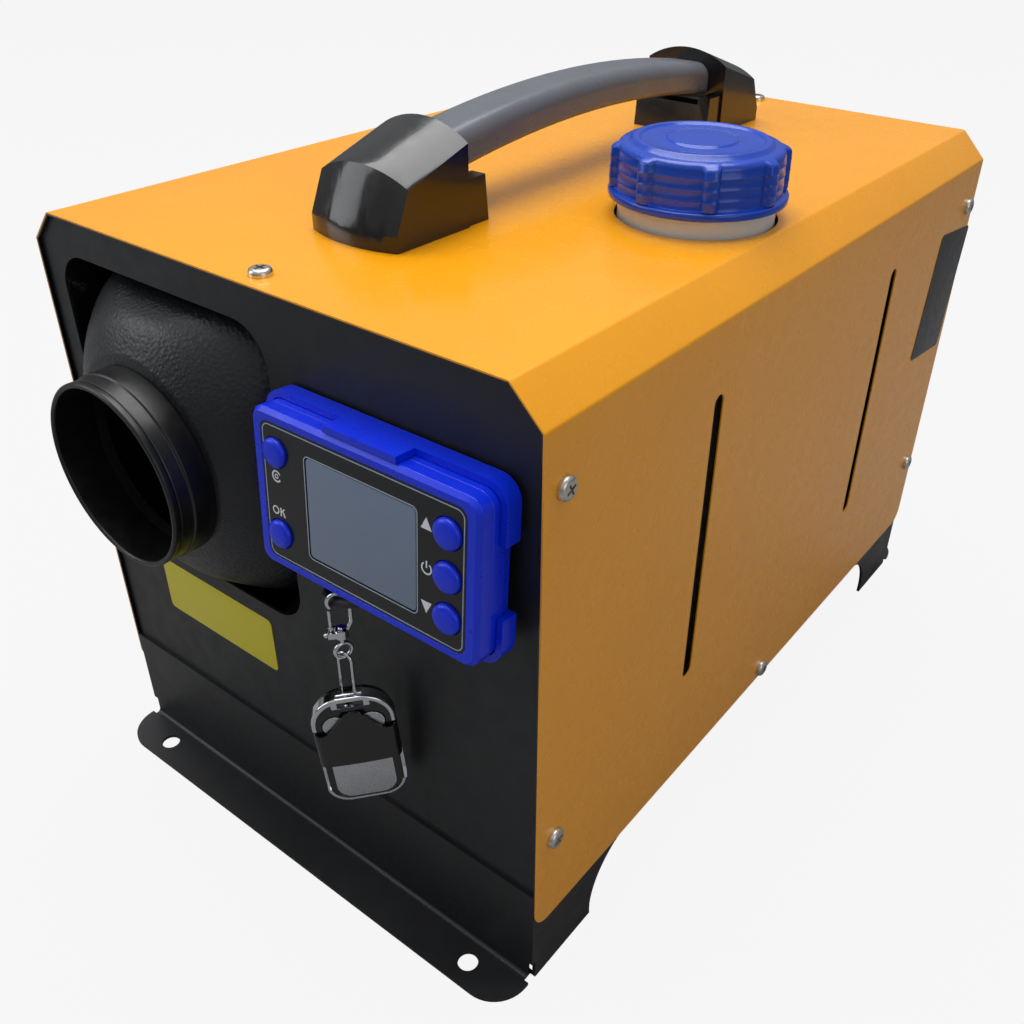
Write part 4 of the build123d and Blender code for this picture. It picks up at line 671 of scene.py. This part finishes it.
screen_centre = (0.4, -0.1)
screen_outline = rounded_rectangle(47.8, 37.0, 1.6, centre=screen_centre)
screen_rings = slab_rings(screen_outline, -8, -0.2, 0.3)
screen = show(
    "screen_panel", grid_mesh("screen_panel", screen_rings, face_place), screen_glass, "case",
)
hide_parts("controller_screen")

button_places = {
    "tune": (-37.9, 15.3),
    "confirm": (-37.8, -15.4),
    "up": (37.1, 15.2),
    "power": (37.1, 0.1),
    "down": (37.1, -14.8),
}
# (radius, height above the film) of a button, from its stem to the middle of its crown
button_outline = [
    (0.01, -6.9), (2.0, -6.9), (2.0, -2.2), (5.3, -2.2), (5.3, 0.3), (5.2, 0.8), (4.95, 1.2), (4.4, 1.55),
    (3.6, 1.8), (2.6, 1.93), (1.3, 1.99), (0.01, 2.0),
]
for name, (across, up) in button_places.items():
    rings = turned_rings(button_outline, 64)
    moved = [[(x + across, y + up, z) for x, y, z in ring] for ring in rings]
    key_mesh = grid_mesh(f"key_{name}", moved, face_place)
    key = show(f"key_{name}", key_mesh, controller_blue, f"{name}_key")
    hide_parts(f"button_{name}")

# Printed marks on the film: generic signs beside the buttons. Two light border lines, one along the face's
# edge and one round the screen
ink_low = -0.12
ink_high = -0.04


def ink_patch(name, outline):
    """Flat printed patch on the controller's face."""
    rings = [[(x, y, height) for x, y in outline] for height in (ink_low, ink_high)]
    return show(name, grid_mesh(name, rings, face_place), white_ink, "case")


def ink_loop(name, outline, width, material=None):
    """Flat line of this width along the inside of a closed outline, on the controller's face."""
    inner = inset_outline(outline, width)
    rings = [
        [(x, y, ink_low) for x, y in outline],
        [(x, y, ink_high) for x, y in outline],
        [(x, y, ink_high) for x, y in inner],
        [(x, y, ink_low) for x, y in inner],
    ]
    mesh = grid_mesh(name, rings, face_place, closed_along=True)
    return show(name, mesh, material or white_ink, "case")


def circle(centre, radius, start=0.0, end=360.0, steps=32):
    """Points round a circle, between two angles in degrees."""
    points = []
    for step in range(steps + 1):
        angle = math.radians(start + (end - start) * step / steps)
        points.append((centre[0] + radius * math.cos(angle), centre[1] + radius * math.sin(angle)))
    return points


def arc_band(centre, radius, width, start, end):
    """Outline of a curved stroke between two angles."""
    return circle(centre, radius, start, end) + circle(centre, radius - width, end, start)


ink_patch("mark_up", [(26.4, 13.2), (30.8, 13.2), (28.6, 17.4)])
ink_patch("mark_down", [(28.6, -16.7), (30.8, -12.5), (26.4, -12.5)])
ink_patch("mark_power_ring", arc_band((28.7, -0.4), 2.2, 0.55, 125, 415))
ink_patch("mark_power_bar", [(28.42, -0.2), (28.98, -0.2), (28.98, 2.3), (28.42, 2.3)])
ink_patch("mark_tune", arc_band((-38.0, 6.5), 2.2, 0.6, 30, 330))
ink_loop("mark_tune_dot", circle((-38.0, 6.5), 0.9)[:-1], 0.4)
ink_loop("mark_o", circle((-39.6, -6.7), 1.6)[:-1], 0.5)
ink_patch("mark_k_stem", [(-37.4, -8.3), (-36.8, -8.3), (-36.8, -5.1), (-37.4, -5.1)])
ink_patch("mark_k_arm", [(-36.8, -7.1), (-35.0, -5.1), (-35.7, -5.1), (-36.8, -6.3)])
ink_patch("mark_k_leg", [(-36.2, -6.7), (-35.6, -8.3), (-34.9, -8.3), (-35.8, -6.3)])
ink_loop("face_line", rounded_rectangle(87.0, 49.8, 3.0), 0.35, screen_border)
screen_line = rounded_rectangle(49.4, 38.6, 2.2, centre=screen_centre)
ink_loop("screen_line", screen_line, 0.35, screen_border)


# ---------------------------------------------------------------- key fob plate

fob_level = Vector((math.cos(fob_yaw), math.sin(fob_yaw), 0))
fob_out = Vector((math.sin(fob_yaw), -math.cos(fob_yaw), 0))
fob_across = fob_level * math.cos(fob_tilt) + Vector((0, 0, math.sin(fob_tilt)))
fob_up = Vector((0, 0, math.cos(fob_tilt))) - fob_level * math.sin(fob_tilt)
bar_place = Vector((chain_x, chain_y, fob_top_z - bar_drop * math.cos(fob_tilt)))
fob_place = axes_matrix(bar_place + fob_up * bar_drop, fob_across, fob_up, fob_out)
plate_outline = [(x, y) for x, y in rounded_rectangle(22.6, 26.0, 6.0, centre=(0, -37.1)) if y < -32.0]
plate_outline = [(-11.3, -30.8)] + plate_outline + [(11.3, -30.8)]
show(
    "fob_plate", grid_mesh("fob_plate", slab_rings(plate_outline, 4.2, 4.4, 0.08), fob_place),
    brushed_silver, "fob",
)
softened("fob_slider", 0.3, gloss_black)
softened("fob_shell", 0.25, gloss_black)


# ---------------------------------------------------------------- cable

cable_radius = 1.75
cable_route = [
    (60.0, -198.3, 173.7),
    (60.0, -199.0, 171.0),
    (38.2, -199.0, 164.2),
    (38.2, -172.0, 164.2),
    (9.55, -166.0, 158.2),
    (9.55, 66.0, 205.0),
    (0.6, 66.0, 205.0),
]
cable_line = bpy.data.curves.new("cable", "CURVE")
cable_line.dimensions = "3D"
cable_line.bevel_depth = cable_radius * MM
cable_line.bevel_resolution = 6
cable_line.resolution_u = 24
cable_line.use_fill_caps = True
strand = cable_line.splines.new("NURBS")
strand.points.add(len(cable_route) - 1)
for control, point in zip(strand.points, cable_route):
    control.co = (*(Vector(point) * MM), 1.0)
strand.order_u = 3
strand.use_endpoint_u = True
cable_line.materials.append(black_rubber)
cable = bpy.data.objects.new("cable", cable_line)
bpy.context.scene.collection.objects.link(cable)
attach(cable, "case")
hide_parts("controller_cable")

# Ribbed strain relief on the panel's grommet, and the collar under the controller
relief_x = 38.2
relief_z = 164.2
relief_root = 183.35
relief_length = 5.0
relief_ribs = 4
sleeve_bore = 1.6
relief_outline = [(sleeve_bore, relief_root)]
for rib in range(relief_ribs):
    low = relief_root + relief_length / relief_ribs * rib
    radius = 2.95 - 0.15 * rib
    neck = radius - 0.4
    relief_outline += [(radius, low), (radius, low + 0.8), (neck, low + 0.95), (neck, low + 1.15)]
relief_outline.append((sleeve_bore, relief_root + relief_length))
relief_place = about_y(relief_x, relief_z)
relief_mesh = grid_mesh("cable_relief", turned_rings(relief_outline, 48), relief_place, closed_along=True)
show("cable_relief", relief_mesh, black_rubber, "case")

cable_exit = Vector((-6.0, -controller_height / 2, -4.5))
collar_place = (
    face_place @ Matrix.Translation(cable_exit * MM) @ Matrix.Rotation(math.radians(90), 4, "X")
)
cable_collar = rounded_outline([(sleeve_bore, 0.0), (2.55, 0.0), (2.55, 1.2), (sleeve_bore, 1.2)], 0.25)
collar_mesh = grid_mesh("cable_collar", turned_rings(cable_collar, 48), collar_place, closed_along=True)
show("cable_collar", collar_mesh, black_rubber, "case")


# ---------------------------------------------------------------- studio

floor_mesh = bpy.data.meshes.new("floor")
floor_reach = 6.0
floor_mesh.from_pydata(
    [(-floor_reach, -floor_reach, 0), (floor_reach, -floor_reach, 0), (floor_reach, floor_reach, 0),
     (-floor_reach, floor_reach, 0)],
    [], [(0, 1, 2, 3)],
)
floor = bpy.data.objects.new("floor", floor_mesh)
bpy.context.scene.collection.objects.link(floor)


def shown_white(tree, plain, white_strength, share):
    """Mix of a plain shader with white light for what the camera sees directly."""
    rays = tree.nodes.new("ShaderNodeLightPath")
    glow = tree.nodes.new("ShaderNodeEmission")
    glow.inputs["Strength"].default_value = white_strength
    factor = tree.nodes.new("ShaderNodeMath")
    factor.operation = "MULTIPLY"
    factor.inputs[1].default_value = share
    tree.links.new(rays.outputs["Is Camera Ray"], factor.inputs[0])
    mix = tree.nodes.new("ShaderNodeMixShader")
    tree.links.new(factor.outputs[0], mix.inputs[0])
    tree.links.new(plain, mix.inputs[1])
    tree.links.new(glow.outputs[0], mix.inputs[2])
    return mix.outputs[0]


floor_material = bpy.data.materials.new("floor_white")
floor_material.use_nodes = True
floor_tree = floor_material.node_tree
floor_shader = floor_tree.nodes["Principled BSDF"]
floor_shader.inputs["Base Color"].default_value = (0.25, 0.25, 0.25, 1)
floor_shader.inputs["Roughness"].default_value = 0.9
floor_tree.links.new(
    shown_white(floor_tree, floor_shader.outputs[0], 1.0, 0.9),
    floor_tree.nodes["Material Output"].inputs["Surface"],
)
floor_mesh.materials.append(floor_material)

world = bpy.data.worlds.new("studio")
world.use_nodes = True
bpy.context.scene.world = world
sky = world.node_tree
background = sky.nodes["Background"]
direction = sky.nodes.new("ShaderNodeTexCoord")
split_direction = sky.nodes.new("ShaderNodeSeparateXYZ")
sky.links.new(direction.outputs["Generated"], split_direction.inputs[0])
brightness = sky.nodes.new("ShaderNodeMapRange")
brightness.inputs["From Min"].default_value = -0.1
brightness.inputs["From Max"].default_value = 0.9
brightness.inputs["To Min"].default_value = 0.10
brightness.inputs["To Max"].default_value = 0.60
sky.links.new(split_direction.outputs["Z"], brightness.inputs["Value"])
sky.links.new(brightness.outputs["Result"], background.inputs["Strength"])
background.inputs["Color"].default_value = (0.95, 0.97, 1.0, 1)
sky.links.new(shown_white(sky, background.outputs[0], 1.0, 1.0), sky.nodes["World Output"].inputs["Surface"])


def softbox(name, place, aim, size, power, color=(1, 1, 1)):
    """Rectangular lamp at a place in metres, turned towards a point."""
    lamp = bpy.data.lights.new(name, "AREA")
    lamp.shape = "RECTANGLE"
    lamp.size = size[0]
    lamp.size_y = size[1]
    lamp.energy = power
    lamp.color = color
    holder = bpy.data.objects.new(name, lamp)
    bpy.context.scene.collection.objects.link(holder)
    holder.location = place
    holder.rotation_euler = (Vector(aim) - Vector(place)).to_track_quat("-Z", "Y").to_euler()
    return holder


target = (0, -0.03, 0.15)
softbox("top_light", (-0.25, 0.15, 1.6), target, (1.3, 1.3), 22)
softbox("front_left_light", (-1.3, -1.1, 0.9), target, (0.8, 1.2), 7, (0.93, 0.97, 1.0))
softbox("right_fill", (1.6, -0.6, 0.7), target, (0.9, 0.9), 2.5)


# ---------------------------------------------------------------- camera

camera_azimuth = math.radians(36.72)
camera_elevation = math.radians(33.25)
camera_roll = math.radians(1.14)
camera_place = Vector((272.7, -380.5, 391.0)) * MM
frame_pixels = 1024.0
focal_pixels = 1042.7
centre_pixels = (544.6, 506.9)

camera_data = bpy.data.cameras.new("camera")
camera_data.sensor_width = 36.0
camera_data.lens = focal_pixels / frame_pixels * camera_data.sensor_width
camera_data.shift_x = (frame_pixels / 2 - centre_pixels[0]) / frame_pixels
camera_data.shift_y = (centre_pixels[1] - frame_pixels / 2) / frame_pixels
camera_data.clip_start = 0.01
camera = bpy.data.objects.new("camera", camera_data)
bpy.context.scene.collection.objects.link(camera)
back = Vector((
    math.sin(camera_azimuth) * math.cos(camera_elevation),
    -math.cos(camera_azimuth) * math.cos(camera_elevation),
    math.sin(camera_elevation),
))
right = Vector((math.cos(camera_azimuth), math.sin(camera_azimuth), 0))
up = back.cross(right)
rolled_right = right * math.cos(camera_roll) + up * math.sin(camera_roll)
rolled_up = up * math.cos(camera_roll) - right * math.sin(camera_roll)
camera.matrix_world = Matrix.Translation(camera_place) @ Matrix(
    (rolled_right, rolled_up, back)
).transposed().to_4x4()
bpy.context.scene.camera = camera
bpy.context.scene.view_settings.view_transform = "Standard"
